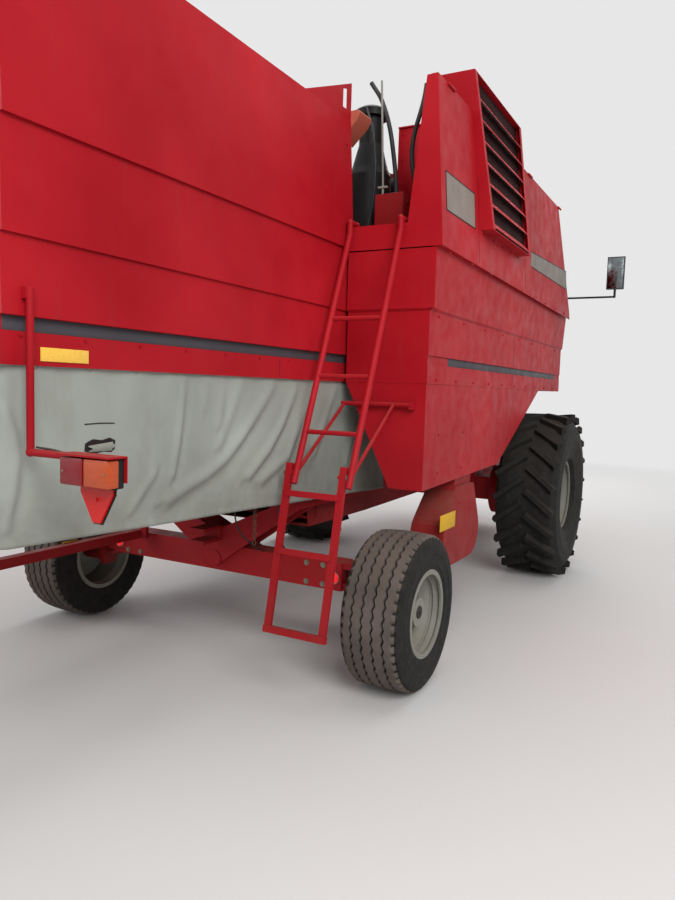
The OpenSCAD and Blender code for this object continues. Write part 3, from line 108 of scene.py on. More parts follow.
class Tree:
    """A material's node tree with short calls for the nodes that this file uses."""

    def __init__(self, name):
        self.mat = bpy.data.materials.new(name)
        self.mat.use_nodes = True
        self.tree = self.mat.node_tree
        self.tree.nodes.clear()
        self.out = self.add("ShaderNodeOutputMaterial")
        self.bsdf = self.add("ShaderNodeBsdfPrincipled")
        self.link(self.bsdf.outputs[0], self.out.inputs["Surface"])
        self.coords = self.add("ShaderNodeTexCoord").outputs["Object"]

    def add(self, kind, **values):
        node = self.tree.nodes.new(kind)
        for key, value in values.items():
            setattr(node, key, value)
        return node

    def link(self, a, b):
        self.tree.links.new(a, b)

    def put(self, socket, value):
        if isinstance(value, bpy.types.NodeSocket):
            self.link(value, socket)
        elif socket.type == "RGBA" and len(value) == 3:
            socket.default_value = (*value, 1)
        else:
            socket.default_value = value

    def noise(self, scale, detail=4, rough=0.5, stretch=(1, 1, 1), kind="ShaderNodeTexNoise"):
        mapping = self.add("ShaderNodeMapping")
        mapping.inputs["Scale"].default_value = stretch
        self.link(self.coords, mapping.inputs["Vector"])
        tex = self.add(kind)
        self.link(mapping.outputs[0], tex.inputs["Vector"])
        tex.inputs["Scale"].default_value = scale
        if kind == "ShaderNodeTexNoise":
            tex.inputs["Detail"].default_value = detail
            tex.inputs["Roughness"].default_value = rough
        return tex.outputs[0]

    def ramp(self, value, low, high, to_low=0.0, to_high=1.0):
        node = self.add("ShaderNodeMapRange")
        self.put(node.inputs["Value"], value)
        for key, number in (("From Min", low), ("From Max", high), ("To Min", to_low), ("To Max", to_high)):
            node.inputs[key].default_value = number
        return node.outputs[0]

    def math(self, kind, a, b=0.0):
        node = self.add("ShaderNodeMath", operation=kind)
        self.put(node.inputs[0], a)
        self.put(node.inputs[1], b)
        return node.outputs[0]

    def mix(self, factor, a, b):
        node = self.add("ShaderNodeMix", data_type="RGBA")
        self.put(node.inputs["Factor"], factor)
        self.put(node.inputs[6], a)
        self.put(node.inputs[7], b)
        return node.outputs[2]

    def height(self):
        split = self.add("ShaderNodeSeparateXYZ")
        self.link(self.coords, split.inputs[0])
        return split.outputs[2]

    def facing_up(self):
        geometry = self.add("ShaderNodeNewGeometry")
        split = self.add("ShaderNodeSeparateXYZ")
        self.link(geometry.outputs["Normal"], split.inputs[0])
        return split.outputs[2]

    def bump(self, value, strength, distance=0.002, below=None):
        node = self.add("ShaderNodeBump")
        node.inputs["Strength"].default_value = strength
        node.inputs["Distance"].default_value = distance
        self.put(node.inputs["Height"], value)
        if below is not None:
            self.link(below, node.inputs["Normal"])
        return node.outputs[0]

    def finish(self, colour, rough, normal=None, metallic=0.0, **more):
        self.put(self.bsdf.inputs["Base Color"], colour)
        self.put(self.bsdf.inputs["Roughness"], rough)
        self.bsdf.inputs["Metallic"].default_value = metallic
        for key, value in more.items():
            self.put(self.bsdf.inputs[key.replace("_", " ")], value)
        if normal is not None:
            self.link(normal, self.bsdf.inputs["Normal"])
        return self.mat


def paint(name, colour, dust, base_rough, dirt, wear):
    """Old farm-machine paint: faded patches, runs of dirt, dust on top, small rust spots."""
    t = Tree(name)
    faded, deep = shade(colour, 1.10, 0.006), shade(colour, 0.80)
    tone = t.mix(t.ramp(t.noise(0.9, 3), 0.35, 0.68), faded, deep)
    tone = t.mix(t.ramp(t.noise(7, 5, 0.6), 0.48, 0.75, 0, 0.3), tone, deep)
    runs = t.ramp(t.noise(6, 4, 0.6, (3, 3, 0.22)), 0.56, 0.76, 0, 0.26 * dirt)
    tone = t.mix(runs, tone, shade(dust, 0.35))
    low = t.ramp(t.height(), 0.3, 1.7, 0.32 * dirt, 0.01 * dirt)
    patch = t.math("MULTIPLY", low, t.ramp(t.noise(3.3, 5, 0.65), 0.3, 0.7, 0.2, 1.2))
    tone = t.mix(patch, tone, shade(dust, 0.6))
    level = t.ramp(t.facing_up(), 0.45, 0.95, 0, 0.6 * dirt)
    top = t.math("MULTIPLY", level, t.ramp(t.noise(5, 6, 0.7), 0.3, 0.65, 0.3, 1))
    tone = t.mix(top, tone, dust)
    spots = t.ramp(t.noise(38, 3, 0.55), 0.73, 0.76, 0, 0.8 * wear)
    tone = t.mix(spots, tone, srgb(0.28, 0.15, 0.09))
    rough = t.ramp(t.noise(9, 4), 0.3, 0.7, base_rough - 0.05, base_rough + 0.14)
    rough = t.math("MAXIMUM", rough, t.math("MULTIPLY", top, 0.9))
    dents = t.bump(t.noise(1.6, 2), 0.35, 0.012)
    skin = t.bump(t.noise(160, 2), 0.05, 0.001, dents)
    return t.finish(tone, rough, skin, Specular_IOR_Level=0.12)


def tyre_rubber(name, light, dark, dust, dusty=1.0):
    """Worn rubber, greyer and dustier where it meets the road."""
    t = Tree(name)
    tone = t.mix(t.ramp(t.noise(4, 5, 0.6), 0.35, 0.7), dark, light)
    tone = t.mix(t.ramp(t.noise(14, 6, 0.7), 0.42, 0.72, 0, 0.4 * dusty), tone, shade(dust, 0.5))
    tone = t.mix(t.ramp(t.facing_up(), 0.2, 0.95, 0, 0.3 * dusty), tone, shade(dust, 0.7))
    skin = t.bump(t.noise(220, 3, 0.7), 0.18, 0.001, t.bump(t.noise(30, 4, 0.6), 0.2, 0.002))
    return t.finish(tone, t.ramp(t.noise(20, 3), 0.3, 0.7, 0.72, 0.92), skin, Specular_IOR_Level=0.25)


def cloth(name, colour, dust, weave=70):
    """Coated woven canvas, dirty towards its hem, with threads both ways from its UV map."""
    t = Tree(name)
    uv = t.add("ShaderNodeTexCoord").outputs["UV"]
    tone = t.mix(t.ramp(t.noise(1.7, 4), 0.35, 0.7), shade(colour, 1.07), shade(colour, 0.84))
    stain = t.ramp(t.noise(3.4, 6, 0.65, (1, 1, 0.5)), 0.55, 0.72, 0, 0.22)
    tone = t.mix(stain, tone, shade(dust, 0.62))
    low = t.ramp(t.height(), 1.05, 1.5, 0.5, 0)
    hem = t.math("MULTIPLY", low, t.ramp(t.noise(6, 5, 0.7), 0.3, 0.7, 0.3, 1.2))
    tone = t.mix(hem, tone, shade(dust, 0.5))
    threads = []
    for direction in ("X", "Y"):
        wave = t.add("ShaderNodeTexWave", bands_direction=direction)
        t.link(uv, wave.inputs["Vector"])
        wave.inputs["Scale"].default_value = weave
        threads.append(wave.outputs[1])
    weft = t.math("MULTIPLY", threads[0], threads[1])
    tone = t.mix(t.math("MULTIPLY", weft, 0.16), tone, shade(colour, 0.55))
    bumps = t.bump(weft, 0.3, 0.0012, t.bump(t.noise(5, 5, 0.6), 0.35, 0.008))
    return t.finish(tone, t.ramp(t.noise(12, 3), 0.3, 0.7, 0.62, 0.85), bumps, Specular_IOR_Level=0.3)


def metal(name, colour, rough, rust, metallic=0.85):
    """Bare or plated metal with rust that grows in patches."""
    t = Tree(name)
    tone = t.mix(t.ramp(t.noise(12, 5, 0.6), 0.35, 0.7), colour, shade(colour, 0.6))
    rusted = t.ramp(t.noise(7, 6, 0.7), 0.62 - 0.3 * rust, 0.75, 0, min(1, 1.2 * rust))
    tone = t.mix(rusted, tone, srgb(0.33, 0.19, 0.11))
    skin = t.bump(t.noise(90, 4, 0.6), 0.15, 0.001)
    worn = t.ramp(t.noise(18, 4), 0.3, 0.7, rough, min(1, rough + 0.25))
    return t.finish(tone, worn, skin, metallic * (1 - 0.5 * rust))


def plastic(name, colour, rough, dust):
    """Dull plastic or rubber with dust on top."""
    t = Tree(name)
    tone = t.mix(t.ramp(t.noise(5, 4), 0.4, 0.7, 0, 0.4), colour, shade(colour, 1.5, 0.01))
    tone = t.mix(t.ramp(t.facing_up(), 0.3, 0.9, 0, 0.5), tone, shade(dust, 0.6))
    skin = t.bump(t.noise(260, 2), 0.08, 0.0008)
    return t.finish(tone, t.ramp(t.noise(14, 3), 0.3, 0.7, rough, rough + 0.15), skin)


def glass(name, tint, dust):
    """Dusty window glass, seen through."""
    t = Tree(name)
    film = t.ramp(t.noise(4, 5, 0.6), 0.35, 0.75, 0.04, 0.34)
    tone = t.mix(film, tint, dust)
    t.put(t.bsdf.inputs["Alpha"], t.ramp(t.noise(4, 5, 0.6), 0.35, 0.75, 0.26, 0.42))
    return t.finish(tone, 0.12, IOR=1.45)


def lens(name, colour, glow=0.0):
    """Ribbed lamp glass, which may glow a little in its own colour; where it glows, that is a painted
    highlight on reflectors, which are no lamps.
    """
    t = Tree(name)
    wave = t.add("ShaderNodeTexWave", bands_direction="X")
    t.link(t.coords, wave.inputs["Vector"])
    wave.inputs["Scale"].default_value = 60
    cells = t.noise(170, kind="ShaderNodeTexVoronoi")
    tone = t.mix(t.ramp(cells, 0.1, 0.6), colour, shade(colour, 0.82))
    return t.finish(
        tone, 0.2, t.bump(wave.outputs[1], 0.4, 0.002),
        Specular_IOR_Level=0.35, Emission_Color=(*colour, 1), Emission_Strength=glow,
    )


MATERIALS = {}


def make_materials(c):
    dust, grime = tuple(c.dust), shade(c.dust, 0.5)
    # Each paint: its material's name, colour, dust, roughness, dirt and wear
    paints = {
        "red": ("red_body_paint", c.red, dust, 0.42, 0.4, 0.25),
        "frame_red": ("red_frame_paint", shade(c.red, 0.92), dust, 0.46, 0.45, 1.0),
        "underside": ("dusty_underside_paint", c.underside, dust, 0.52, 0.7, 1.6),
        "rim": ("grey_rim_paint", c.rim, dust, 0.45, 0.9, 1.2),
        "stripe": ("grey_stripe_paint", c.stripe, dust, 0.45, 0.5, 0.2),
        "decal": ("grey_band_film", c.decal, dust, 0.4, 0.5, 0.1),
        "yellow": ("yellow_film", srgb(0.85, 0.66, 0.12), dust, 0.4, 0.4, 0.1),
        "black": ("black_paint", srgb(0.10, 0.10, 0.105), dust, 0.38, 0.8, 0.3),
        "engine": ("engine_paint", srgb(0.42, 0.10, 0.09), grime, 0.5, 1.3, 1.2),
        # Painted shade: the dark inside of the air intake
        "dark_inside": ("shadowed_inside", srgb(0.16, 0.06, 0.06), dust, 0.7, 0.2, 0.2),
        # dark_line colours seams, edges and frames, and the canvas tear, where it is painted shade
        "dark_line": ("dark_line_paint", srgb(0.13, 0.09, 0.095), dust, 0.5, 0.3, 0.1),
        "salmon": ("faded_primer", srgb(0.72, 0.38, 0.30), dust, 0.5, 0.8, 0.6),
    }
    for key, (name, colour, *finish) in paints.items():
        MATERIALS[key] = paint(name, tuple(colour), *finish)
    MATERIALS.update({
        "tyre": tyre_rubber(
            "tyre_side_rubber", srgb(0.125, 0.115, 0.105), srgb(0.085, 0.08, 0.075), dust, 0.22
        ),
        "tread": tyre_rubber("dusty_tread_rubber", srgb(0.38, 0.34, 0.32), srgb(0.29, 0.26, 0.245), dust),
        "canvas": cloth("grey_green_canvas", tuple(c.canvas), dust),
        "seat": cloth("seat_cloth", srgb(0.15, 0.15, 0.17), dust, 150),
        "steel": metal("worn_steel", srgb(0.62, 0.61, 0.58), 0.32, 0.2),
        "rust": metal("rusty_steel", srgb(0.34, 0.22, 0.15), 0.62, 0.7, 0.5),
        "rod": metal("polished_rod", srgb(0.78, 0.78, 0.77), 0.14, 0.02, 1.0),
        "zinc": metal("zinc_bolt", srgb(0.55, 0.53, 0.47), 0.4, 0.35),
        "mirror": metal("mirror_silver", srgb(0.5, 0.52, 0.53), 0.05, 0.0, 1.0),
        "plastic": plastic("black_plastic", srgb(0.09, 0.09, 0.095), 0.45, dust),
        "hose": plastic("rubber_hose", srgb(0.075, 0.075, 0.08), 0.55, dust),
        "glass": glass("cab_glass", srgb(0.72, 0.80, 0.80), dust),
        "lens_red": lens("red_lens", srgb(0.80, 0.07, 0.04)),
        "lens_amber": lens("amber_lens", srgb(0.72, 0.29, 0.12)),
        "lens_dark": lens("dark_red_lens", srgb(0.50, 0.06, 0.09)),
        # This red lens glows: a painted highlight for the round reflectors, which are no lamps
        "lens_painted_highlight": lens("red_lens_painted_highlight", srgb(0.95, 0.12, 0.14), 0.6),
        "lens_clear": lens("clear_lens", srgb(0.86, 0.88, 0.88)),
        "reflector": lens("amber_reflector", srgb(0.96, 0.76, 0.30)),
    })


# Solids that aren't body red
NODE_FINISH = {
    "underside": [
        "cleaning_shoe", "engine_deck", "grain_elevator", "knuckle_left", "knuckle_right", "threshing_body",
    ],
    "frame_red": [
        "main_frame", "front_axle", "rear_axle", "upper_ladder", "lower_ladder", "lamp_frames", "platform",
        "feeder_house",
    ],
    "rim": ["front_rim_left", "front_rim_right", "rear_rim_left", "rear_rim_right"],
    "tyre": ["front_tyre_left", "front_tyre_right", "rear_tyre_left", "rear_tyre_right"],
    "steel": ["straw_walkers", "feeder_chain", "tie_rod"],
    "rod": ["lift_rods"],
    "black": ["lift_barrels", "drive_belts", "mirrors", "radiator", "air_cleaner", "work_lamps"],
    "plastic": ["fuel_tank", "steering_column"],
    "seat": ["seat"],
    "rust": ["exhaust"],
    "engine": ["engine"],
    "glass": ["cab_glass", "door_glass"],
    "canvas": ["canvas_skirt"],
    "lens_red": ["tail_lamps"],
}

# Shapes


def round_edges(bm, edges, width):
    bmesh.ops.bevel(bm, geom=edges, offset=width, affect="EDGES", segments=2, profile=0.5, material=-1)


def bm_box(bm, low, high, edge=0.0):
    """A box between two corners, its edges rounded by edge."""
    size, mid = high - low, (high + low) / 2
    made = bmesh.ops.create_cube(bm, size=1, matrix=Matrix.Translation(mid) @ Matrix.Diagonal((*size, 1)))
    if edge:
        round_edges(bm, list({e for v in made["verts"] for e in v.link_edges}), edge)


def along(a, b):
    """The matrix that stands a shape drawn up Z between two points."""
    return Matrix.Translation((a + b) / 2) @ (b - a).to_track_quat("Z", "Y").to_matrix().to_4x4()


def bm_rod(bm, a, b, r, sides=16, r_end=None, edge=0.0):
    """A round bar between two points, tapered to r_end where that is given."""
    made = bmesh.ops.create_cone(
        bm, cap_ends=True, segments=sides, radius1=r, radius2=r if r_end is None else r_end,
        depth=(b - a).length, matrix=along(a, b),
    )
    if edge:
        touched = {e for v in made["verts"] for e in v.link_edges}
        round_edges(bm, [e for e in touched if any(len(f.verts) > 4 for f in e.link_faces)], edge)


def bm_bolt(bm, place, axis, r, head):
    """A hexagon head on its washer, standing out along axis."""
    axis, washer = axis.normalized(), 0.002
    bm_rod(bm, place, place + axis * washer, r * 1.5, 14)
    bm_rod(bm, place + axis * washer / 2, place + axis * (washer + head), r, 6, r * 0.94)


def spin_full(bm, geom, centre, axis, steps):
    bmesh.ops.spin(
        bm, geom=geom, cent=centre, axis=axis, angle=math.tau, steps=steps,
        use_merge=True, use_duplicate=False,
    )


def bm_turn(bm, profile, centre, steps):
    """A profile of (radius, offset along X) turned into a full ring about X."""
    verts = [bm.verts.new(centre + Vector((x, 0, r))) for r, x in profile]
    edges = [bm.edges.new(pair) for pair in zip(verts, verts[1:])]
    spin_full(bm, verts + edges, centre, (1, 0, 0), steps)
    bmesh.ops.remove_doubles(bm, verts=bm.verts, dist=1e-6)


def bm_ring(bm, centre, axis, r, wire, sides=18, section=6):
    """A ring of round wire about an axis."""
    turn = axis.to_track_quat("Z", "Y").to_matrix().to_4x4()
    out = Matrix.Translation((r, 0, 0)) @ Matrix.Rotation(math.pi / 2, 4, "X")
    place = Matrix.Translation(centre) @ turn @ out
    made = bmesh.ops.create_circle(bm, cap_ends=False, segments=section, radius=wire, matrix=place)
    verts = made["verts"]
    spin_full(bm, verts + list({e for v in verts for e in v.link_edges}), centre, axis, sides)


def make_piece(name, bm, material, body, smooth=35, mend=True):
    """The finished mesh as a shown piece that rides on a body."""
    if mend:
        bmesh.ops.recalc_face_normals(bm, faces=bm.faces)
    mesh = bpy.data.meshes.new(name)
    bm.to_mesh(mesh)
    bm.free()
    mesh.materials.append(MATERIALS[material])
    piece = bpy.data.objects.new(name, mesh)
    bpy.context.scene.collection.objects.link(piece)
    mesh.polygons.foreach_set("use_smooth", [True] * len(mesh.polygons))
    mesh.set_sharp_from_angle(angle=math.radians(smooth))
    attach(piece, body)
    return piece


def thicken(piece, thickness, offset):
    """Gives a sheet its wall."""
    wall = piece.modifiers.new("Thickness", "SOLIDIFY")
    wall.thickness, wall.offset = thickness, offset


# Trim from tables. Every length is in drawing millimetres, and side mirrors it across the machine.

BOTH = (-1, 1)
SIDE_NAMES = {-1: "right", 1: "left"}

# Places that several pieces share: distances from the middle, behind the front axle and above the ground.
WHEELBASE = 3433
FRONT_R, REAR_R = 800, 470
STRIPE_Z = (1946, 1999)
PANEL_X = 1321
HOOD_X = 720
HOOD_Y = 5690
LAMP_X = 1125
CAB_FLOOR = 1961


def way(axis, side=1):
    """The direction that x, -y and the like name, with x mirrored on the machine's other side."""
    v = [0, 0, 0]
    v["xyz".index(axis[-1])] = (-1 if axis[0] == "-" else 1) * (side if axis[-1] == "x" else 1)
    return Vector(v)


def shape_box(bm, side, x0, y0, z0, x1, y1, z1, edge=2):
    a, b = at(side * x0, y0, z0), at(side * x1, y1, z1)
    low, high = Vector(map(min, a, b)), Vector(map(max, a, b))
    bm_box(bm, low, high, min(edge / 1000, 0.35 * min(high - low)))


def shape_rod(bm, side, x0, y0, z0, x1, y1, z1, r, r_end=None, sides=16):
    end, edge = None if r_end is None else r_end / 1000, min(2, 0.2 * min(r, r_end or r)) / 1000
    bm_rod(bm, at(side * x0, y0, z0), at(side * x1, y1, z1), r / 1000, sides, end, edge)


def shape_bolts(bm, side, x0, y0, z0, x1, y1, z1, count, axis, r):
    """A row of bolts between two places."""
    for i in range(count):
        f = i / max(1, count - 1)
        place = at(side * (x0 + (x1 - x0) * f), y0 + (y1 - y0) * f, z0 + (z1 - z0) * f)
        bm_bolt(bm, place, way(axis, side), r / 1000, 0.0006 * r)


def shape_circle(bm, side, x, y, z, axis, radius, count, r):
    """A circle of bolts or nuts about an axis."""
    out = way(axis, side)
    turn = out.to_track_quat("Z", "Y")
    for i in range(count):
        a = math.tau * (i + 0.5) / count
        spoke = turn @ Vector((math.cos(a), math.sin(a), 0)) * radius / 1000
        bm_bolt(bm, at(side * x, y, z) + spoke, out, r / 1000, 0.0008 * r)


def shape_ring(bm, side, x, y, z, axis, radius, wire, steps=40):
    bm_ring(bm, at(side * x, y, z), way(axis, side), radius / 1000, wire / 1000, steps, 8)


def shape_plate(bm, side, thick, *outline):
    """A flat plate, raised towards its side of the machine, or to the rear where it faces back."""
    verts = [bm.verts.new(at(side * x, y, z)) for x, y, z in outline]
    face = bmesh.ops.contextual_create(bm, geom=verts)["faces"][0]
    face.normal_update()
    raised = face.normal * thick / 1000
    if raised.x * side < -1e-6 or (abs(raised.x) < 1e-6 and raised.y < 0):
        raised.negate()
    grown = bmesh.ops.extrude_face_region(bm, geom=[face])["geom"]
    bmesh.ops.translate(bm, vec=raised, verts=[v for v in grown if isinstance(v, bmesh.types.BMVert)])


SHAPES = {
    "box": shape_box, "rod": shape_rod, "bolts": shape_bolts, "circle": shape_circle, "ring": shape_ring,
    "plate": shape_plate,
}


def trim(name, material, body="chassis", sides=(1,), **tables):
    """One piece made of the plain shapes in its tables, once for each side of the machine."""
    bm = bmesh.new()
    for side in sides:
        for kind, rows in tables.items():
            for row in rows:
                SHAPES[kind](bm, side, *row)
    return make_piece(name, bm, material, body)


def hoses(name, material, r, *paths, sides=(1,)):
    """Bent pipes or hoses through points, as one bevelled curve that rides on the chassis."""
    curve = bpy.data.curves.new(name, "CURVE")
    curve.dimensions = "3D"
    curve.bevel_depth, curve.bevel_resolution, curve.use_fill_caps = r / 1000, 3, True
    for side in sides:
        for path in paths:
            spline = curve.splines.new("BEZIER")
            spline.bezier_points.add(len(path) - 1)
            for p, (x, y, z) in zip(spline.bezier_points, path):
                p.co = at(side * x, y, z)
                p.handle_left_type = p.handle_right_type = "AUTO"
    curve.materials.append(MATERIALS[material])
    piece = bpy.data.objects.new(name, curve)
    bpy.context.scene.collection.objects.link(piece)
    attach(piece, "chassis")


def along_row(x, y0, y1, z, count, r=7):
    """A bolt row's numbers, level along the machine's side."""
    return (x, y0, z, x, y1, z, count, "x", r)


def across_row(x0, x1, y, z, count, axis, r=7):
    """A bolt row's numbers, level across the machine."""
    return (x0, y, z, x1, y, z, count, axis, r)


def cover_x(z):
    """How far out the upper covers' leaning faces stand at a height."""
    foot_x, foot_z, lean, rise = 1396, 2666, 72, 1004
    return foot_x - lean * (z - foot_z) / rise


def on_cover(y0, y1, low, high, thick=1.2):
    """A plate on the leaning cover between two places along it; low and high give the heights at each end."""
    corners = ((y0, low[0]), (y1, low[1]), (y1, high[1]), (y0, high[0]))
    return (thick, *((cover_x(z) + 0.2, y, z) for y, z in corners))


# Pieces


class HARVESTER_OT_paint(bpy.types.Operator):
    """Gives every solid its finish"""

    bl_idname = "harvester.paint"
    bl_label = "Paint the solids"

    def execute(self, context):
        make_materials(context.scene.harvester_colours)
        finish = {node: key for key, group in NODE_FINISH.items() for node in group}
        for name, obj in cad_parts.items():
            obj.data.materials.clear()
            obj.data.materials.append(MATERIALS[finish.get(name, "red")])
        return {"FINISHED"}


# The canvas skirt, in metres

HEM_REAR = 1.154
EYELET_ROW = 0.93
CORNER_R = 0.05
CANVAS_THICK = 0.003
HUNG_HEIGHT = 0.75
FRONT_ENDS = 0.12
REAR_FROM = 2.5


def skirt_path():
    """The skirt's line round the hood seen from above: right side, rear and left side."""
    low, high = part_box("canvas_skirt")
    r, side_steps, rear_steps = CORNER_R, 60, 25
    back, width = high.y - r, high.x - low.x - 2 * r

    def corner(x, start):
        angles = [math.radians(start - 15 * i) for i in range(1, 7)]
        return [(x + r * math.cos(a), back + r * math.sin(a)) for a in angles]

    pts = [(low.x, low.y + (back - low.y) * i / side_steps) for i in range(side_steps + 1)]
    pts += corner(low.x + r, 180)
    pts += [(low.x + r + width * i / rear_steps, high.y) for i in range(1, rear_steps)]
    pts += corner(high.x - r, 90)
    pts += [(high.x, back - (back - low.y) * i / side_steps) for i in range(1, side_steps + 1)]
    return [Vector((x, y, 0)) for x, y in pts]


def on_path(path, line, s):
    """The point a distance s along a path, and the way out of the machine there."""
    i = max(k for k in range(len(line) - 1) if line[k] <= s + 1e-9)
    step = path[i + 1] - path[i]
    t = step.normalized()
    return path[i] + step * ((s - line[i]) / (line[i + 1] - line[i])), Vector((-t.y, t.x, 0))


def skirt_hem(y):
    """Height of the skirt's straight lower edge at a place along the machine."""
    low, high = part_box("canvas_skirt")
    return low.z + (HEM_REAR - low.z) * (y - low.y) / (high.y - low.y)


# Each fold of the canvas: its depth and width in millimetres, then its line as
# (metres from the skirt's front end, height in metres).
FOLDS = (
    (20, 34, (
        (1.539, 1.778), (1.68, 1.632), (1.836, 1.488), (1.963, 1.39), (2.123, 1.32), (2.236, 1.288),
        (2.394, 1.234),
    )),
    (13, 22, ((2.282, 1.794), (2.305, 1.629), (2.329, 1.487), (2.362, 1.348))),
    (9, 20, ((2.479, 1.37), (2.557, 1.287), (2.633, 1.207))),
    (18, 32, ((1.299, 1.761), (1.426, 1.571), (1.55, 1.432), (1.739, 1.292))),
    (7, 30, ((2.115, 1.798), (2.131, 1.675))),
    (9, 30, ((1.974, 1.796), (2.01, 1.586))),
    (10, 32, ((1.835, 1.793), (1.886, 1.674), (2.007, 1.47))),
    (15, 30, ((1.095, 1.764), (1.232, 1.566), (1.363, 1.363), (1.618, 1.253))),
    (12, 30, ((0.80, 1.77), (0.93, 1.56), (1.07, 1.36))),
    (10, 34, ((0.45, 1.78), (0.52, 1.5), (0.6, 1.28))),
    (12, 24, ((3.248, 1.661), (3.212, 1.58), (3.198, 1.487), (3.214, 1.369), (3.252, 1.227))),
)

# The tear's opening and the slit above it, drawn in the same way; the cloth is not cut, and both are dark
# patches laid on it, painted shade of the dark inside seen through them.
TEAR = (
    (2.718, 1.528), (2.722, 1.492), (2.74, 1.479), (2.78, 1.484), (2.82, 1.478), (2.86, 1.484),
    (2.884, 1.49), (2.88, 1.522), (2.862, 1.53), (2.84, 1.538), (2.79, 1.532), (2.75, 1.541),
)
SLIT = ((2.722, 1.598), (2.80, 1.600), (2.884, 1.597), (2.884, 1.602), (2.80, 1.605), (2.722, 1.603))
FLAP_CORNER = (2.732, 1.486)
FLAP_LENGTH = 0.125
FLAP_HEIGHTS = (0.038, 0.026)


def fold_push(s, z):
    """How far the folds push the canvas out at a place: a ridge with a shallower valley beside it."""
    reach, valley = 0.2, 0.55
    push = 0.0
    for depth, width, line in FOLDS:
        best, side = math.inf, 0.0
        for (s0, z0), (s1, z1) in zip(line, line[1:]):
            ds, dz = s1 - s0, z1 - z0
            t = max(0, min(1, ((s - s0) * ds + (z - z0) * dz) / (ds * ds + dz * dz)))
            gap = math.hypot(s - s0 - t * ds, z - z0 - t * dz)
            if gap < best:
                best, side = gap, math.copysign(1, (s - s0) * dz - (z - z0) * ds)
        if best < reach:
            w = width / 1000
            beside = (side * best - 1.7 * w) / (1.3 * w)
            push += depth / 1000 * (math.exp(-((best / w) ** 2)) - valley * math.exp(-(beside**2)))
    return push


def canvas_push(s, w, z, total, sizes):
    """How far the canvas stands off its line: folds, slow waves and the pull between its eyelets."""
    near = min(s, total - s)
    # Held along the top and at both front ends, and calmer round the rear
    hang = min(1, 2.2 * (1 - w)) * min(1, near / FRONT_ENDS)
    calm = 0.3 if near > REAR_FROM else 0.7
    wave = 0.35 * math.sin(near * 6.1 + 0.9 * math.sin(near * 2.1))
    wave += 0.5 * noise.noise(Vector((near * 1.9, z * 1.5, 3.7)))
    wave += 0.16 * noise.noise(Vector((near * 7, z * 5, 1.7)))
    push = hang * (calm * sizes.fold_depth * wave + fold_push(near, z))
    pucker = max(0, min(1, (w - 0.6) / 0.3)) * (w < EYELET_ROW)
    push += 0.003 * math.cos(near * math.tau / sizes.eyelet_gap) * pucker
    hem_roll = 0.003 * (w < 0.025)
    return push - 0.004 + hem_roll


class HARVESTER_OT_canvas(bpy.types.Operator):
    """Hangs the canvas skirt below the straw hood, with its hem, eyelets and torn patch, whose tear and slit
    are dark patches of painted shade
    """

    bl_idname = "harvester.canvas"
    bl_label = "Canvas skirt"

    def execute(self, context):
        sizes = context.scene.harvester_sizes
        path = skirt_path()
        line = [0.0]
        for a, b in zip(path, path[1:]):
            line.append(line[-1] + (b - a).length)
        total = line[-1]
        hood_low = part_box("straw_hood")[0]

        def drape(s, z=None, w=None):
            """A place s along the canvas, at the height z or the share w of its height, and the way out."""
            p, out = on_path(path, line, s)
            hem = skirt_hem(p.y)
            top = hood_low.z + (0.05 if p.y > hood_low.y + 0.05 else -0.004)
            w = (z - hem) / (top - hem) if w is None else w
            z = hem + (top - hem) * w
            return p + out * canvas_push(s, w, z, total, sizes) + Vector((0, 0, z)), out

        bm = bmesh.new()
        bmesh.ops.create_grid(bm, x_segments=4 * len(path), y_segments=56, size=0.5, calc_uvs=True)
        uv = bm.loops.layers.uv.verify()
        for v in bm.verts:
            v.co = drape((v.co.x + 0.5) * total, w=v.co.y + 0.5)[0]
        for face in bm.faces:
            for loop in face.loops:
                u, w = loop[uv].uv
                loop[uv].uv = (u * total, w * HUNG_HEIGHT)
        bmesh.ops.recalc_face_normals(bm, faces=bm.faces)
        if sum(f.normal.y * f.calc_center_median().y for f in bm.faces if abs(f.normal.y) > 0.9) < 0:
            bmesh.ops.reverse_faces(bm, faces=bm.faces)
        skirt = make_piece("canvas_cloth", bm, "canvas", "chassis", 80, mend=False)
        thicken(skirt, CANVAS_THICK, -1)
        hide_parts("canvas_skirt")

        rings = bmesh.new()
        for k in range(1, int(total / sizes.eyelet_gap)):
            p, out = drape(k * sizes.eyelet_gap, w=EYELET_ROW)
            bm_ring(rings, p + out * 0.001, out, 0.011, 0.0028)
        eyelets = make_piece("canvas_eyelets", rings, "zinc", "chassis")

        # The tear and slit are dark patches laid on the cloth: painted shade of the dark inside seen through
        # them
        tear = bmesh.new()
        for outline in (TEAR, SLIT):
            places = [drape(s, z) for s, z in outline]
            verts = [tear.verts.new(p + out * 0.0015) for p, out in places]
            bmesh.ops.contextual_create(tear, geom=verts)
        tear_shade = make_piece("canvas_tear_painted_shade", tear, "dark_line", "chassis")

        flap = bmesh.new()
        bmesh.ops.create_grid(flap, x_segments=12, y_segments=8, size=0.5)
        for v in flap.verts:
            u, w = v.co.x + 0.5, v.co.y + 0.5
            curl = 0.007 * math.sin(math.pi * w) + 0.006 * w * w * (1 - u)
            s = FLAP_CORNER[0] + FLAP_LENGTH * u + 0.01 * math.sin(9 * w)
            height = FLAP_HEIGHTS[0] + (FLAP_HEIGHTS[1] - FLAP_HEIGHTS[0]) * u
            p, out = drape(s, FLAP_CORNER[1] + height * w)
            v.co = p + out * (0.003 + curl)
        torn = make_piece("canvas_flap", flap, "rim", "chassis", 60, mend=False)
        return {"FINISHED"}


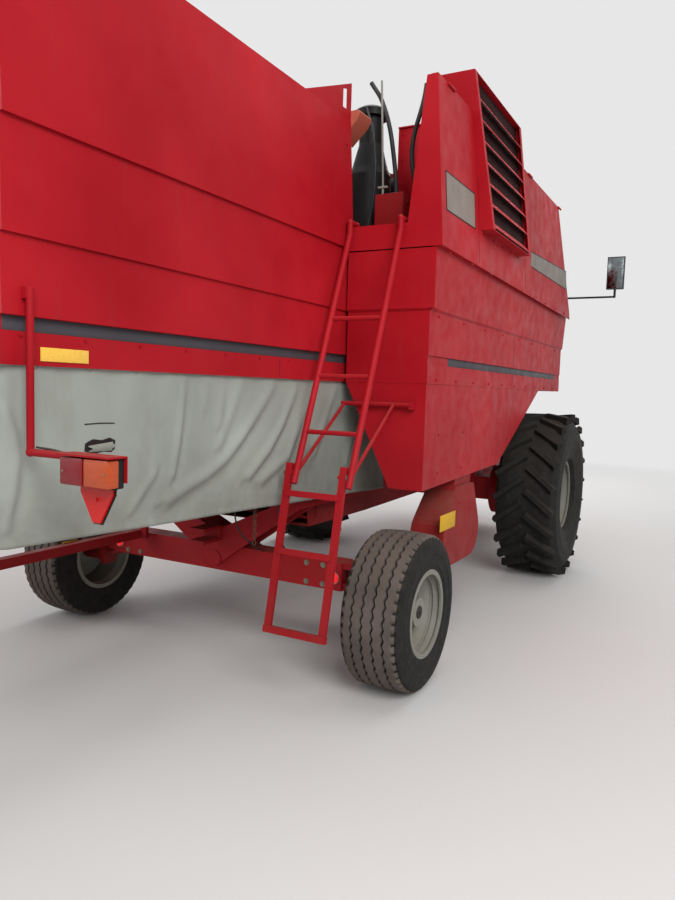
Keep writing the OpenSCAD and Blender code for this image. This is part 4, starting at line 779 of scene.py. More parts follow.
# Sidewall of a rear tyre from its bead to its shoulder, as (radius, half width).
TYRE_WALL = (
    (261, 170), (263, 175.7), (275, 178), (287, 178), (290, 181.5), (296, 181.5), (299, 180.5), (330, 183),
    (352, 183.4), (354, 185.4), (360, 185.4), (362, 183.2), (395, 181), (425, 176), (440, 171), (452, 163),
    (462, 150),
)
TREAD_FALL = 8
TREAD_HALF = 150
GROOVES = (-96, -32, 32, 96)
ZIGZAG = 6
SHOULDER_CUT = 11
# The grooved part's least radius and half width, the stepped shoulder's, and where the dusty tread begins.
GROOVED_R, GROOVED_HALF = 440, 130
SHOULDER_R, SHOULDER_FROM, SHOULDER_TO = 445, 145, 170
DUSTY_R, DUSTY_DEPTH = 447, 10.5


def tread_r(x):
    """Radius of a rear tyre's crowned tread at a distance from its middle."""
    return REAR_R - TREAD_FALL * (x / TREAD_HALF) ** 2


class HARVESTER_OT_rear_tyres(bpy.types.Operator):
    """Road tyres of the steered wheels, with zigzag grooves and stepped shoulders"""

    bl_idname = "harvester.rear_tyres"
    bl_label = "Rear tyres"

    def execute(self, context):
        sizes = context.scene.harvester_sizes
        steps, depth = 4 * sizes.tread_steps, 1000 * sizes.groove_depth
        tread = [(tread_r(x), x) for x in (-141, -64, 0, 64, 141)]
        for groove in GROOVES:
            for x, cut in ((-8, 0), (-6, depth), (6, depth), (8, 0)):
                tread.append((tread_r(groove + x) - cut, groove + x))
        tread.sort(key=lambda point: point[1])
        profile = [(r, -x) for r, x in TYRE_WALL] + tread + list(TYRE_WALL[::-1])
        for word in SIDE_NAMES.values():
            low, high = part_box(f"rear_tyre_{word}")
            centre = (low + high) / 2
            bm = bmesh.new()
            bm_turn(bm, [(r / 1000, x / 1000) for r, x in profile], centre, steps)
            for v in bm.verts:
                rel = 1000 * (v.co - centre)
                r, x = math.hypot(rel.y, rel.z), abs(rel.x)
                step = round(math.atan2(rel.y, rel.z) / math.tau * steps) % 4
                if r > GROOVED_R and x < GROOVED_HALF:
                    v.co.x += ZIGZAG / 1000 * (0, 1, 0, -1)[step]
                elif r > SHOULDER_R and SHOULDER_FROM < x < SHOULDER_TO:
                    cut = SHOULDER_CUT / 1000 * (step < 2)
                    v.co -= Vector((math.copysign(0.6 * cut, rel.x), rel.y / r * cut, rel.z / r * cut))
            tyre = make_piece(f"rear_tyre_{word}_road", bm, "tread", f"rear_wheel_{word}", 28)
            tyre.data.materials.append(MATERIALS["tyre"])
            for face in tyre.data.polygons:
                rel = 1000 * (face.center - centre)
                r, x = math.hypot(rel.y, rel.z), abs(rel.x)
                in_groove = x < GROOVED_HALF and r < tread_r(x) - DUSTY_DEPTH
                face.material_index = int(r < DUSTY_R or in_groove)
            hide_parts(f"rear_tyre_{word}")
        return {"FINISHED"}


class HARVESTER_OT_wheels(bpy.types.Operator):
    """Nuts, hub caps, lock rings and valves of the four wheels"""

    bl_idname = "harvester.wheels"
    bl_label = "Wheels"

    def execute(self, context):
        y, z = WHEELBASE, REAR_R
        for side, word in SIDE_NAMES.items():
            rear, front = f"rear_wheel_{word}", f"front_wheel_{word}"
            trim(
                f"rear_nuts_{word}", "zinc", rear, (side,),
                circle=[(1368, y, z, "x", 120, 8, 13)],
                rod=[
                    (1300, y + 157, z + 150, 1352, y + 149, z + 142, 4),
                    (1352, y + 149, z + 142, 1366, y + 145, z + 138, 6, 5),
                ],
            )
            rings = ((1474, 258, 7, 64), (1442, 226, 4, 64), (1372, 160, 3, 48))
            trim(
                f"rear_rim_rings_{word}", "rim", rear, (side,),
                ring=[(x, y, z, "x", r, wire, steps) for x, r, wire, steps in rings],
            )
            trim(
                f"rear_hub_cap_{word}", "black", rear, (side,),
                rod=[(1436, y, z, 1446, y, z, 40, 36), (1446, y, z, 1452, y, z, 14, 12, 6)],
            )
            trim(
                f"front_nuts_{word}", "zinc", front, (side,),
                circle=[(1366, 0, FRONT_R, "x", 165, 10, 15), (1436, 0, FRONT_R, "x", 60, 6, 8)],
                rod=[
                    (1392, 240, FRONT_R + 160, 1440, 232, FRONT_R + 150, 5),
                    (1440, 232, FRONT_R + 150, 1456, 229, FRONT_R + 147, 7, 6),
                ],
            )
            trim(
                f"front_rim_rings_{word}", "rim", front, (side,),
                ring=[(1378, 0, FRONT_R, "x", 210, 3.5, 64)],
            )
        return {"FINISHED"}


class HARVESTER_OT_panels(bpy.types.Operator):
    """Stripes, blank bands and plates, seams and fastenings of the red panels"""

    bl_idname = "harvester.panels"
    bl_label = "Panel trim"

    def execute(self, context):
        low, high = STRIPE_Z
        trim("panel_stripes", "stripe", sides=BOTH, box=[
            (PANEL_X - 10.5, -500, low, PANEL_X - 9, 2770, high, 0.3),
            (HOOD_X - 9, 3104, low, HOOD_X - 7.2, 5672, high, 0.3),
        ])
        trim("rear_stripe", "stripe", box=[(-700, HOOD_Y - 1, low, 700, HOOD_Y + 1, high, 0.3)])

        band, foot, head, edge = (-548, 971), (2899, 2891), (3078, 3012), 8
        trim("cover_bands", "decal", sides=BOTH, plate=[on_cover(*band, foot, head)])
        trim("cover_band_edges", "dark_line", sides=BOTH, plate=[
            on_cover(*band, head, [z + edge for z in head], 1.6),
            on_cover(*band, [z - edge for z in foot], foot, 1.6),
        ])

        (y0, y1), (z0, z1) = (2540, 3090), (2890, 3115)
        trim("cover_plate", "decal", sides=BOTH, plate=[on_cover(y0, y1, (z0, z0), (z1, z1))])
        trim("cover_plate_frame", "dark_line", sides=BOTH, plate=[
            on_cover(y0 - edge, y1 + edge, [z0 - edge] * 2, (z0, z0), 1.8),
            on_cover(y0 - edge, y1 + edge, (z1, z1), [z1 + edge] * 2, 1.8),
            on_cover(y0 - edge, y0, (z0, z0), (z1, z1), 1.8),
            on_cover(y1, y1 + edge, (z0, z0), (z1, z1), 1.8),
        ])

        trim(
            "seam_lines", "dark_line", sides=BOTH,
            box=[
                (PANEL_X, 1180, 1826, PANEL_X + 0.6, 1184, 1944, 0.1),
                (PANEL_X + 2, 1180, 2002, PANEL_X + 2.8, 1184, 2268, 0.1),
                (HOOD_X, 3900, 1826, HOOD_X + 0.7, 3903, 1940, 0.1),
            ],
            plate=[on_cover(y, y + 4, (2670, 2670), (3640, 3640), 0.8) for y in (2452, 1180)],
        )
        trim("panel_bolts", "frame_red", sides=BOTH, bolts=[
            along_row(PANEL_X, -400, 3000, 1850, 10),
            along_row(PANEL_X + 2, -400, 3000, 2250, 8),
            along_row(1396, -420, 3040, 2632, 9),
            along_row(HOOD_X, 3200, 5600, 1930, 9, 6),
            *((1337, y, 1000, 1337, y, 1500, 3, "x", 7) for y in (2480, 2960)),
        ])
        trim("boot_label_blank", "yellow", box=[(-1338.2, 2560, 843, -1337, 2860, 954, 0.3)])
        trim("rail_reflectors", "reflector", box=[(699, 4080, 684, 703, 4204, 748)])
        trim("cover_hinges", "red", sides=BOTH, rod=[
            (1330, y, 3664, 1330, y + 120, 3664, 9) for y in (-300, 900, 2100, 2900)
        ])
        return {"FINISHED"}


class HARVESTER_OT_hood(bpy.types.Operator):
    """Fastenings, grips and curtain bar of the straw hood"""

    bl_idname = "harvester.hood"
    bl_label = "Straw hood trim"

    def execute(self, context):
        x = HOOD_X + 2
        trim("hood_bolts", "frame_red", sides=BOTH, bolts=[
            along_row(x, 3180, 5600, 2030, 8, 6), (x, 3180, 3330, x, 3180, 2500, 4, "x", 6),
        ])
        trim("hood_rear_fastenings", "frame_red", bolts=[
            across_row(-640, 640, HOOD_Y, z, 6, "y") for z in (2030, 1880)
        ])
        y, z, stand = HOOD_Y, 2160, 32
        grips = []
        for legs, bar in (((-260, -100), (-268, -92)), ((260, 100), (92, 268))):
            grips += [(x, y, z, x, y + stand, z, 8) for x in legs]
            grips.append((bar[0], y + stand, z, bar[1], y + stand, z, 8))
        trim("hood_rear_grips", "black", rod=grips)
        trim(
            "straw_curtain_bar", "frame_red", box=[(-690, 5600, 1830, 690, 5640, 1850)],
            bolts=[across_row(-640, 640, 5620, 1830, 8, "-z")],
        )
        return {"FINISHED"}


def shield(thick, y, half, tip, top, shoulder, foot):
    """A plate's row for the blunt triangle that points down below a tail lamp."""
    outline = (
        (-half, top), (half, top), (half, shoulder), (tip, foot), (-tip, foot), (-half, shoulder),
    )
    return (thick, *((LAMP_X + x, y, z) for x, z in outline))


class HARVESTER_OT_lamps(bpy.types.Operator):
    """Tail lamps, reflectors and work lamps with their lenses"""

    bl_idname = "harvester.lamps"
    bl_label = "Lamps"

    def execute(self, context):
        x, y = LAMP_X, 5610
        pieces = [
            trim("tail_lamp_bodies", "black", sides=BOTH, box=[
                (x - 115, 5608.6, 1422, x + 115, 5636, 1522, 5), (x - 113, 5636, 1418, x + 113, 5640, 1426),
            ]),
            trim("tail_lamp_red", "lens_dark", sides=BOTH, box=[
                (x - 112, 5634, 1425, x - 4, 5680, 1519, 7),
            ]),
            trim("tail_lamp_amber", "lens_amber", sides=BOTH, box=[
                (x - 1, 5630, 1425, x + 115, 5680, 1519, 7),
            ]),
            trim("tail_lamp_screws", "zinc", sides=BOTH, rod=[
                (x + dx, 5679, 1472, x + dx, 5682, 1472, 4) for dx in (-95, 95)
            ]),
            trim(
                "triangle_reflectors", "lens_red", sides=BOTH,
                plate=[shield(12, y, 75, 17, 1420, 1398, 1296)], rod=[(x, 5618, 1375, x, 5627, 1375, 7)],
            ),
            trim("triangle_borders", "black", sides=BOTH, plate=[
                shield(4, y - 1, 81, 21, 1422, 1396, 1290),
            ]),
            # Their lens glows as a painted highlight, though reflectors are no lamps
            trim("round_reflectors", "lens_painted_highlight", sides=BOTH, rod=[
                (899, 3510, 612, 899, 3523, 612, 34, 30, 32),
            ]),
            trim("round_reflector_rims", "steel", sides=BOTH, ring=[(899, 3514, 612, "y", 36, 3)]),
            trim("hood_reflectors", "reflector", sides=BOTH, box=[
                (HOOD_X + 0.4, 5289, 1842, HOOD_X + 4, 5517, 1894, 1.2),
            ]),
        ]
        for piece in pieces:
            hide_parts("tail_lamps")
        places, z = (-600, -250, 250, 600), 3540
        trim("work_lamp_lenses", "lens_clear", rod=[(x, -2321, z, x, -2326, z, 44, 40, 32) for x in places])
        trim("work_lamp_rims", "steel", ring=[(x, -2322, z, "y", 46, 3.5) for x in places])
        hoses(
            "tail_lamp_wires", "hose", 4,
            [(1040, 5612, 1500), (980, 5600, 1512), (900, 5592, 1524), (790, 5590, 1530)], sides=BOTH,
        )
        return {"FINISHED"}


class HARVESTER_OT_intake(bpy.types.Operator):
    """Wire screen behind the slats of the cooling air intake and a dark sheet behind it, both coloured as
    painted shade of the box's inside, and the box's fastenings
    """

    bl_idname = "harvester.intake"
    bl_label = "Air intake"

    def execute(self, context):
        across, up, wire, margin = 44, 36, 1.6, 0.01

        def behind(u, f):
            """A place on the leaning screen, u along it and f up it, 42 mm behind the slats."""
            return (-1424 + 128 * f, 1368 + u * (1028 + 158 * f), 2914 + 1006 * f)

        ends = [((u / across, margin), (u / across, 1 - margin)) for u in range(1, across)]
        ends += [((margin, f / up), (1 - margin, f / up)) for f in range(1, up)]
        # The screen and the sheet behind it take the shadowed_inside colour: painted shade, where the box's
        # inside lies dark
        trim("intake_screen", "dark_inside", rod=[(*behind(*a), *behind(*b), wire, None, 5) for a, b in ends])
        # A dark sheet behind the screen: painted shade in place of the box's inside
        trim("intake_painted_shade_sheet", "dark_inside", plate=[
            (3, behind(0, 0), behind(1, 0), behind(1, 1), behind(0, 1)),
        ])
        x = -cover_x(2890)
        trim("intake_fastenings", "frame_red", bolts=[(x, 1420, 2884, x, 2340, 2884, 5, "-x", 7)])
        return {"FINISHED"}


class HARVESTER_OT_engine(bpy.types.Operator):
    """Pipes, filters, pulleys and fan of the engine, and what stands behind the hood's front edge"""

    bl_idname = "harvester.engine"
    bl_label = "Engine trim"

    def execute(self, context):
        self.fan()
        self.block()
        self.cooling()
        self.pipes()
        self.deck_trim()
        return {"FINISHED"}

    def fan(self):
        bm = bmesh.new()
        hub, blades = at(-560, 2000, 3160), 6
        for k in range(blades):
            blade = bmesh.ops.create_grid(bm, x_segments=6, y_segments=3, size=0.5)["verts"]
            for v in blade:
                u = v.co.x + 0.5
                w = v.co.y * (0.10 + 0.05 * u)
                v.co = Vector((0.5 * w + 0.012 * u * u, w, 0.055 + 0.225 * u))
            turn = Matrix.Rotation(math.tau * k / blades, 3, "X")
            bmesh.ops.rotate(bm, cent=(0, 0, 0), matrix=turn, verts=blade)
            bmesh.ops.translate(bm, vec=hub, verts=blade)
        thicken(make_piece("fan_blades", bm, "black", "chassis", 50), 0.003, 0)

    def block(self):
        """Injection, manifold, filters, bolts and alternator on the block."""
        cylinders = [-440 + 150 * i for i in range(6)]
        hoses("injector_pipes", "steel", 4, *(
            [(x, 1762, 3180), (x + 10, 1730, 3300), (x + 16, 1745, 3430), (x + 20, 1800, 3452)]
            for x in cylinders
        ))
        trim(
            "injection_pump", "engine", box=[(-300, 1690, 3080, 160, 1766, 3180, 14)],
            rod=[(x, 1728, 3180, x, 1728, 3205, 14, 11) for x in range(-270, 81, 70)],
        )
        y, z = 2262, 3390
        trim("exhaust_manifold", "rust", rod=[
            (-430, y, z, 380, y, z, 38), *((x, 2200, z, x, y, z, 30) for x in cylinders),
        ])
        y, z, filters = 1680, 3210, (-60, 60)
        trim("engine_filters", "red", rod=[(x, y, 3040, x, y, z, 46, 46, 28) for x in filters])
        trim(
            "filter_heads", "steel", rod=[(x, y, z, x, y, z + 22, 50) for x in filters],
            box=[(-100, 1660, 3226, 100, 1766, 3246, 4)],
        )
        trim(
            "engine_bolts", "zinc",
            bolts=[
                across_row(-480, 400, 1768, 3060, 8, "-y", 9), across_row(-480, 400, 2232, 3060, 8, "y", 9),
                *(across_row(-480, 400, y, 3506, 6, "z", 9) for y in (1900, 2100)),
            ],
            circle=[(630, 2000, 3166, "x", 160, 10, 10)],
        )
        x, y, z = -200, 2000, 3506
        trim("oil_filler_cap", "black", rod=[
            (x, y, z, x, y, z + 30, 34, 30), (x, y, z + 30, x, y, z + 42, 16, 14, 6),
        ])
        y, z = 2330, 3290
        trim(
            "alternator", "steel",
            rod=[
                (-500, y, z, -380, y, z, 66, 66, 28), (-380, y, z, -366, y, z, 40),
                (-552, y, z, -500, y, z, 14),
            ],
            box=[(-470, 2232, 3250, -430, 2300, z)],
        )
        trim("alternator_pulley", "black", rod=[(-566, y, z, -552, y, z, 42, 42, 28)])

    def cooling(self):
        """Fins, cap and hoses of the radiator."""
        fins = [(-985, 1500, z, -981, 2500, z + 3, 0.4) for z in range(2830, 3620, 14)]
        fins += [(-868, 1500, z, -866, 2500, z + 4, 0.4) for z in range(2830, 2900, 12)]
        trim("radiator_fins", "black", box=fins)
        x, y = -925, 2200
        trim("radiator_cap", "steel", rod=[(x, y, 3640, x, y, 3662, 32), (x, y, 3662, x, y, 3668, 26)])
        hoses(
            "radiator_hoses", "hose", 26,
            [(-925, 1700, 3640), (-860, 1690, 3700), (-700, 1720, 3640), (-520, 1800, 3480)],
            [(-870, 2420, 2880), (-760, 2440, 2890), (-620, 2350, 2960), (-500, 2225, 3060)],
        )
        trim("hose_clips", "zinc", ring=[(-870, 2420, 2880, "x", 27, 2.5)])

    def pipes(self):
        """Fuel pipes, and the exhaust's cap and clamps."""
        hoses(
            "fuel_pipes", "steel", 6,
            [(60, 1680, 3250), (300, 1640, 3260), (520, 1560, 3100), (620, 1500, 2830)],
            [(-60, 1680, 3250), (-260, 1640, 3300), (-330, 1700, 3200)],
        )
        x, y = 220, 2400
        trim(
            "exhaust_cap", "rust", rod=[(x, y, 3926, x, y, 3934, 44)],
            box=[(x - 6, y - 50, 3930, x + 6, y - 38, 3948)],
        )
        trim("exhaust_clamps", "steel", ring=[(x, y, 3376, "x", 97, 4) for x in (-200, 220)])

    def deck_trim(self):
        """What stands behind the hood's front edge, with the flanges of the intake's duct."""
        outline = (
            (-607, 3566), (-752, 3572), (-766, 3556), (-742, 3505), (-668, 3476), (-628, 3398), (-607, 3394),
        )
        trim("deck_bracket", "salmon", plate=[(168, *((x, 2930, z) for x, z in outline))])
        x, y = -846, 2890
        trim(
            "deck_rod", "rim", rod=[(x + 34, y, 3818, x, y, 3130, 7), (x, y, 3130, x, y, 2807, 7)],
            box=[(x - 34, y - 12, 3118, x + 34, y + 12, 3132), (x - 22, y - 20, 2806, x + 22, y + 20, 2814)],
        )
        hoses(
            "deck_hoses", "hose", 15,
            [
                (-1137, 2900, 3740), (-1127, 2900, 3671), (-1051, 2900, 3339), (-1090, 2900, 3081),
                (-1120, 2880, 2822),
            ],
            [(-720, 2860, 3830), (-800, 2850, 3700), (-900, 2840, 3300), (-930, 2830, 2822)],
        )
        hoses(
            "deck_thin_hoses", "hose", 8,
            [(-660, 2800, 3700), (-740, 2850, 3500), (-760, 2850, 3100), (-700, 2840, 2820)],
        )
        trim(
            "tool_box", "underside", box=[(-1000, 2762, 2807, -792, 2898, 3083, 8)],
            rod=[(-1001, 2830, 3030, -1008, 2830, 3030, 12)],
        )
        trim(
            "duct_flanges", "red",
            box=[(-1282, 2484, 2810, -766, 2492, 3640, 1), (-1282, 2474, 3640, -766, 2502, 3652)],
            bolts=[(x, 2492, 2900, x, 2492, 3600, 5, "y", 7) for x in (-1240, -800)],
        )


class HARVESTER_OT_deck(bpy.types.Operator):
    """Pivots of the rear ladder and treads of the driver's platform"""

    bl_idname = "harvester.deck"
    bl_label = "Ladder and platform"

    def execute(self, context):
        right, left = (1000 * corner.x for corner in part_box("lower_ladder"))
        y, z = 3890, 1290
        trim("ladder_pivots", "zinc", bolts=[
            (x, y, z, x, y, z, 1, axis, 13) for x, axis in ((right - 1, "-x"), (left + 1, "x"))
        ])
        treads = []
        for x in range(850, 1427, 48):
            for y in range(-1960, -919, 130):
                treads.append((x, y, 1920, x + 30, y + 28, 1924, 1.5))
        trim("platform_tread", "steel", box=treads)
        return {"FINISHED"}


class HARVESTER_OT_axles(bpy.types.Operator):
    """Hoses, wires, chain and fastenings on the axles and below the body"""

    bl_idname = "harvester.axles"
    bl_label = "Axle trim"

    def execute(self, context):
        hoses(
            "steering_hoses", "hose", 9,
            [(-120, 3340, 720), (-220, 3300, 650), (-330, 3310, 600), (-420, 3350, 610)],
            [(-60, 3340, 740), (-180, 3280, 690), (-280, 3290, 640), (-400, 3340, 650)],
        )
        trim(
            "axle_bolts", "zinc", sides=BOTH,
            bolts=[
                *((x, 3509, 560, x, 3509, 680, 2, "y", 12) for x in (700, 820)),
                across_row(1010, 1030, WHEELBASE, 708, 1, "z", 12),
            ],
            circle=[(1087, 0, FRONT_R, "x", 170, 12, 10)],
        )
        hoses(
            "axle_wires", "hose", 5,
            [(-420, 3900, 1180), (-430, 3890, 960), (-400, 3700, 800), (-380, 3520, 710)],
            [(-560, 3700, 1180), (-600, 3690, 1020), (-580, 3620, 820), (-560, 3500, 712)],
        )
        bm = bmesh.new()
        for i in range(9):
            bm_ring(bm, at(-640, 4000, 1090 - 26 * i), way("x" if i % 2 else "y"), 0.011, 0.0035, 14)
        make_piece("hood_chain", bm, "rust", "chassis")
        hoses(
            "brake_pipes", "steel", 5,
            [(900, 130, 1000), (780, 160, 1060), (660, 150, 1040), (640, 140, 1140)], sides=BOTH,
        )
        return {"FINISHED"}


class HARVESTER_OT_feeder(bpy.types.Operator):
    """Rows of rivets along the feeder house"""

    bl_idname = "harvester.feeder"
    bl_label = "Feeder trim"

    def execute(self, context):
        bm = bmesh.new()
        tilt, side_x, pivot_y, pivot_z = math.radians(23), 521, -660, 1440
        for side in BOTH:
            for s in range(150, 1950, 120):
                for up in (-0.20, 0.20):
                    place = at(side * side_x, pivot_y - s * math.cos(tilt), pivot_z - s * math.sin(tilt))
                    place += Vector((0, -math.sin(tilt) * up, math.cos(tilt) * up))
                    bm_bolt(bm, place, Vector((side, 0, 0)), 0.006, 0.004)
        make_piece("feeder_rivets", bm, "zinc", "feeder_house")
        return {"FINISHED"}


def bm_cushion(bm, low, high, channels):
    """A crowned cushion between two corners with rounded sides and sewn channels across it."""
    crown, groove, groove_width = 0.25, 0.10, 0.05
    mid, half = (low + high) / 2, (high - low) / 2
    made = bmesh.ops.create_cube(bm, size=2)["verts"]
    edges = list({e for v in made for e in v.link_edges})
    bmesh.ops.subdivide_edges(bm, edges=edges, cuts=15, use_grid_fill=True)
    for v in bm.verts:
        p = v.co.copy()
        q = p / sum(abs(c) ** 5 for c in p) ** 0.2
        puff = (1 - p.x**2) * (1 - p.y**2)
        pull = 1 - 0.05 * (1 - abs(p.z)) * abs(p.x * p.y) ** 0.5
        z = q.z + crown * puff * (1 if p.z > 0 else 0.2)
        for c in channels:
            z -= groove * math.exp(-(((p.y - c) / groove_width) ** 2)) * (p.z > 0.9)
        v.co = mid + Vector((q.x * pull * half.x, q.y * pull * half.y, z * half.z / (1 + crown)))


class HARVESTER_OT_cab(bpy.types.Operator):
    """Driver's seat, pedals, levers, wiper, glass rubbers and mirrors"""

    bl_idname = "harvester.cab"
    bl_label = "Cab trim"

    def execute(self, context):
        self.seat()
        self.controls()
        self.outside()
        return {"FINISHED"}

    def seat(self):
        base, back = bmesh.new(), bmesh.new()
        bm_cushion(base, at(-235, -1498, 2300), at(235, -1002, 2412), (-0.35, 0.0, 0.35))
        half = Vector((0.228, 0.215, 0.045))
        bm_cushion(back, -half, half, (-0.3, 0.2))
        turn = Matrix.Translation(at(0, -965, 2660)) @ Matrix.Rotation(math.radians(79), 4, "X")
        bmesh.ops.transform(back, matrix=turn, verts=back.verts)
        for name, bm in (("seat_cushion", base), ("seat_back", back)):
            piece = make_piece(name, bm, "seat", "chassis", 60)
            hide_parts("seat")
        y, z = -1240, CAB_FLOOR - 0.5
        frame_piece = trim(
            "seat_frame", "black",
            rod=[(0, y, z, 0, y, 2270, 88, 70, 32), (0, y, z, 0, y, 1975, 90, 90, 32)],
            box=[
                (-210, -1450, 2262, 210, -1040, 2300, 8),
                *((x, -1060, 2290, x + 30, -980, 2480, 5) for x in (-60, 30)),
            ],
        )
        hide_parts("seat")

    def controls(self):
        """Pedals and the console with its levers."""
        pedals = ((-260, -180, -220), (140, 200, 170), (220, 280, 250))
        trim(
            "pedals", "black",
            box=[(x0, -2010, 2010, x1, -1990, 2110, 4) for x0, x1, stem in pedals],
            rod=[(stem, -1990, 2060, stem, -1930, CAB_FLOOR, 8) for x0, x1, stem in pedals],
        )
        trim("side_console", "plastic", box=[(330, -1620, CAB_FLOOR, 560, -1000, 2480, 16)])
        levers = (370, 420, 470, 520)
        trim("console_levers", "steel", rod=[(x, -1400, 2478, x, -1440, 2680, 6) for x in levers])
        trim("lever_knobs", "plastic", rod=[(x, -1438, 2676, x, -1446, 2716, 15, 12) for x in levers])

    def outside(self):
        """Wiper, glass rubbers, mirrors and the door's seal."""
        trim(
            "wiper", "black",
            rod=[(0, -2166, 3400, 0, -2176, 3400, 14), (0, -2176, 3400, 180, -2178, 2900, 6)],
            box=[(150, -2176, 2640, 160, -2168, 3120)],
        )
        y0, y1 = -2163, -2157
        trim("glass_rubbers", "black", sides=BOTH, box=[
            (735, y0, 2118, 745, y1, 3424), (60, y0, 3414, 740, y1, 3424), (60, y0, 2116, 740, y1, 2126),
        ])
        y = -2103
        trim("mirror_faces", "mirror", sides=BOTH, box=[(1552, y, 3112, 1728, y + 1.5, 3478, 0.4)])
        y0, y1, (x0, x1), (z0, z1), rim = y - 1, y + 3, (1541, 1739), (3101, 3489), 10
        trim("mirror_rims", "plastic", sides=BOTH, box=[
            (x0, y0, z0, x0 + rim, y1, z1), (x1 - rim, y0, z0, x1, y1, z1),
            (x0, y0, z0, x1, y1, z0 + rim), (x0, y0, z1 - rim, x1, y1, z1),
        ])
        trim("door_seal", "black", "cab_door", box=[
            (801, -1446, z, 806, -834, z + 8) for z in (3412, 2384)
        ])


class HARVESTER_OT_unloader(bpy.types.Operator):
    """Clamping bands of the unloading tube and their bolts"""

    bl_idname = "harvester.unloader"
    bl_label = "Unloading tube trim"

    def execute(self, context):
        x, z = 1100, 3860
        trim("tube_bands", "red", "unloader", ring=[
            (x, y, z, "y", 151, 5, 56) for y in (1700, 2500, 3300, 4100, 4600)
        ])
        trim("tube_band_bolts", "zinc", "unloader", bolts=[(x, 1706, z + 152, x, 4606, z + 152, 5, "z", 7)])
        return {"FINISHED"}


class HARVESTER_OT_tank(bpy.types.Operator):
    """Fastenings along the grain tank's rim"""

    bl_idname = "harvester.tank"
    bl_label = "Grain tank trim"

    def execute(self, context):
        z = 3640
        trim("tank_rim_bolts", "zinc", sides=BOTH, bolts=[along_row(1231, -560, 1000, z, 8)])
        trim("tank_front_bolts", "zinc", bolts=[across_row(-1150, 1150, -641, z, 9, "-y")])
        return {"FINISHED"}


# What the camera sees where there is no machine
BACKGROUND = (0.80, 0.80, 0.80)


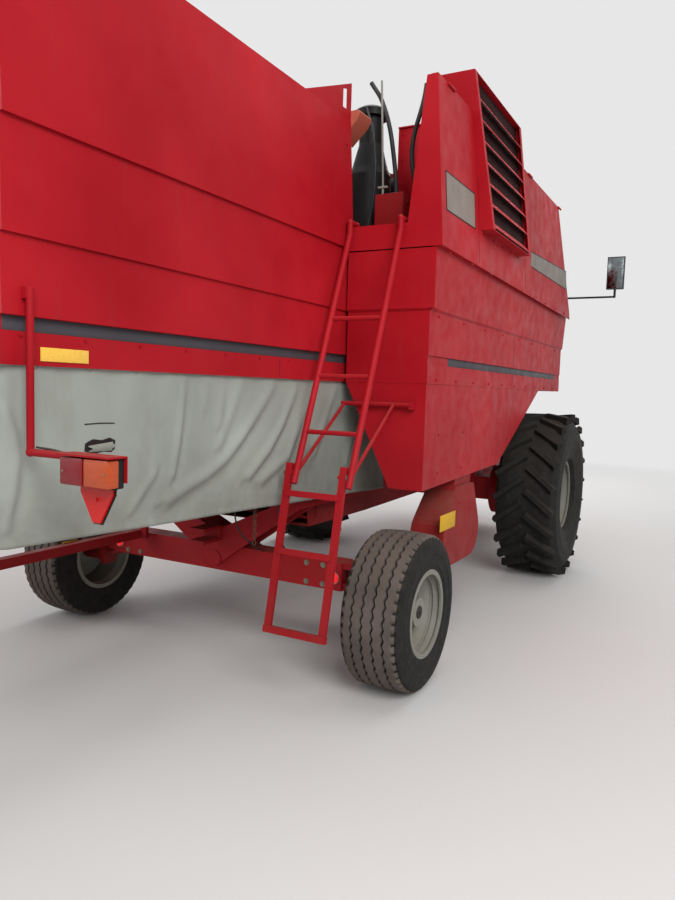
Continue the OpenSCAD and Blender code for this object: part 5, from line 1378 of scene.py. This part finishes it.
class HARVESTER_OT_stage(bpy.types.Operator):
    """Sets the floor, the lights and the camera"""

    bl_idname = "harvester.stage"
    bl_label = "Studio"

    def execute(self, context):
        context.scene.view_settings.view_transform = "Standard"
        self.floor(context.scene)
        self.world(context.scene)
        self.lamps(context.scene)
        self.camera(context.scene)
        return {"FINISHED"}

    def floor(self, scene):
        """A paper floor that takes shadows near the machine and fades into the background."""
        half, below = 40, 0.0015
        bm = bmesh.new()
        bmesh.ops.create_grid(
            bm, x_segments=4, y_segments=4, size=half, matrix=Matrix.Translation((0, 0, -below))
        )
        mesh = bpy.data.meshes.new("studio_floor")
        bm.to_mesh(mesh)
        bm.free()
        floor = bpy.data.objects.new("studio_floor", mesh)
        scene.collection.objects.link(floor)
        t = Tree("studio_floor_paper")
        cloudy = t.ramp(t.noise(0.4, 2), 0.4, 0.6, 0, 0.3)
        t.finish(t.mix(cloudy, srgb(0.80, 0.79, 0.78), srgb(0.78, 0.77, 0.76)), 0.85)
        far = t.add("ShaderNodeVectorMath", operation="LENGTH")
        t.link(t.coords, far.inputs[0])
        paper = t.add("ShaderNodeEmission")
        paper.inputs["Color"].default_value = (*BACKGROUND, 1)
        blend = t.add("ShaderNodeMixShader")
        t.link(t.ramp(far.outputs["Value"], 5, 15), blend.inputs[0])
        t.link(t.bsdf.outputs[0], blend.inputs[1])
        t.link(paper.outputs[0], blend.inputs[2])
        t.link(blend.outputs[0], t.out.inputs["Surface"])
        mesh.materials.append(t.mat)

    def world(self, scene):
        """Soft light from all round, and a plain background for the camera, mirrors and glass."""
        world = bpy.data.worlds.new("studio_world")
        scene.world = world
        world.use_nodes = True
        tree = world.node_tree
        tree.nodes.clear()
        out = tree.nodes.new("ShaderNodeOutputWorld")
        mixer = tree.nodes.new("ShaderNodeMixShader")
        rays = tree.nodes.new("ShaderNodeLightPath")
        for index, (colour, strength) in enumerate((((0.95, 0.97, 1.0), 0.42), (BACKGROUND, 1.0))):
            background = tree.nodes.new("ShaderNodeBackground")
            background.inputs["Color"].default_value = (*colour, 1)
            background.inputs["Strength"].default_value = strength
            tree.links.new(background.outputs[0], mixer.inputs[1 + index])
        seen = rays.outputs["Is Camera Ray"]
        for also in ("Is Glossy Ray", "Is Transmission Ray"):
            either = tree.nodes.new("ShaderNodeMath")
            either.operation = "MAXIMUM"
            tree.links.new(seen, either.inputs[0])
            tree.links.new(rays.outputs[also], either.inputs[1])
            seen = either.outputs[0]
        tree.links.new(seen, mixer.inputs[0])
        tree.links.new(mixer.outputs[0], out.inputs["Surface"])

    def lamps(self, scene):
        for name, place, target, size, power in (
            ("key", (-9.0, 10.0, 8.5), (0, 0.5, 1.6), 7.0, 1500),
            ("fill", (8.0, 9.0, 6.0), (0, 0.5, 1.5), 7.0, 420),
            ("front", (2.0, -11.0, 6.5), (0, 0, 1.5), 7.0, 520),
            ("top", (0, 0, 11.0), (0, 0.01, 0), 9.0, 520),
        ):
            lamp = bpy.data.lights.new(name, "AREA")
            lamp.energy, lamp.size = power, size
            obj = bpy.data.objects.new(name, lamp)
            obj.location = place
            obj.rotation_mode = "QUATERNION"
            obj.rotation_quaternion = (Vector(target) - Vector(place)).to_track_quat("-Z", "Y")
            scene.collection.objects.link(obj)

    def camera(self, scene):
        """The photograph's own view, from behind the machine's right side."""
        camera = bpy.data.objects.new("camera", bpy.data.cameras.new("camera"))
        camera.data.sensor_width, camera.data.lens = 36, 28.78
        forward = Vector((0.4753, -0.8760, -0.0832)).normalized()
        right = Vector((-0.8774, -0.4789, 0.0303))
        up = right.cross(forward).normalized()
        right = forward.cross(up).normalized()
        turn = Matrix((right, up, -forward)).transposed().to_4x4()
        camera.matrix_world = Matrix.Translation(at(-2980, 7347, 1769)) @ turn
        scene.collection.objects.link(camera)
        scene.camera = camera


OPERATORS = (
    HARVESTER_OT_stage, HARVESTER_OT_paint, HARVESTER_OT_canvas, HARVESTER_OT_rear_tyres, HARVESTER_OT_wheels,
    HARVESTER_OT_panels, HARVESTER_OT_hood, HARVESTER_OT_lamps, HARVESTER_OT_intake, HARVESTER_OT_engine,
    HARVESTER_OT_deck, HARVESTER_OT_axles, HARVESTER_OT_feeder, HARVESTER_OT_cab, HARVESTER_OT_unloader,
    HARVESTER_OT_tank,
)


class HARVESTER_PT_panel(bpy.types.Panel):
    """Lists the colours, the sizes and the steps"""

    bl_idname = "HARVESTER_PT_panel"
    bl_label = "Harvester"
    bl_space_type = "VIEW_3D"
    bl_region_type = "UI"
    bl_category = "Harvester"

    def draw(self, context):
        for group in (context.scene.harvester_colours, context.scene.harvester_sizes):
            for key in group.__annotations__:
                self.layout.prop(group, key)
        for operator in OPERATORS:
            self.layout.operator(operator.bl_idname)


CLASSES = (HarvesterColours, HarvesterSizes, *OPERATORS, HARVESTER_PT_panel)


def register():
    for cls in CLASSES:
        bpy.utils.register_class(cls)
    bpy.types.Scene.harvester_colours = PointerProperty(type=HarvesterColours)
    bpy.types.Scene.harvester_sizes = PointerProperty(type=HarvesterSizes)


def unregister():
    del bpy.types.Scene.harvester_colours, bpy.types.Scene.harvester_sizes
    for cls in reversed(CLASSES):
        bpy.utils.unregister_class(cls)


def main():
    register()
    for operator in OPERATORS:
        group, name = operator.bl_idname.split(".")
        getattr(getattr(bpy.ops, group), name)()


if __name__ == "__main__":
    main()
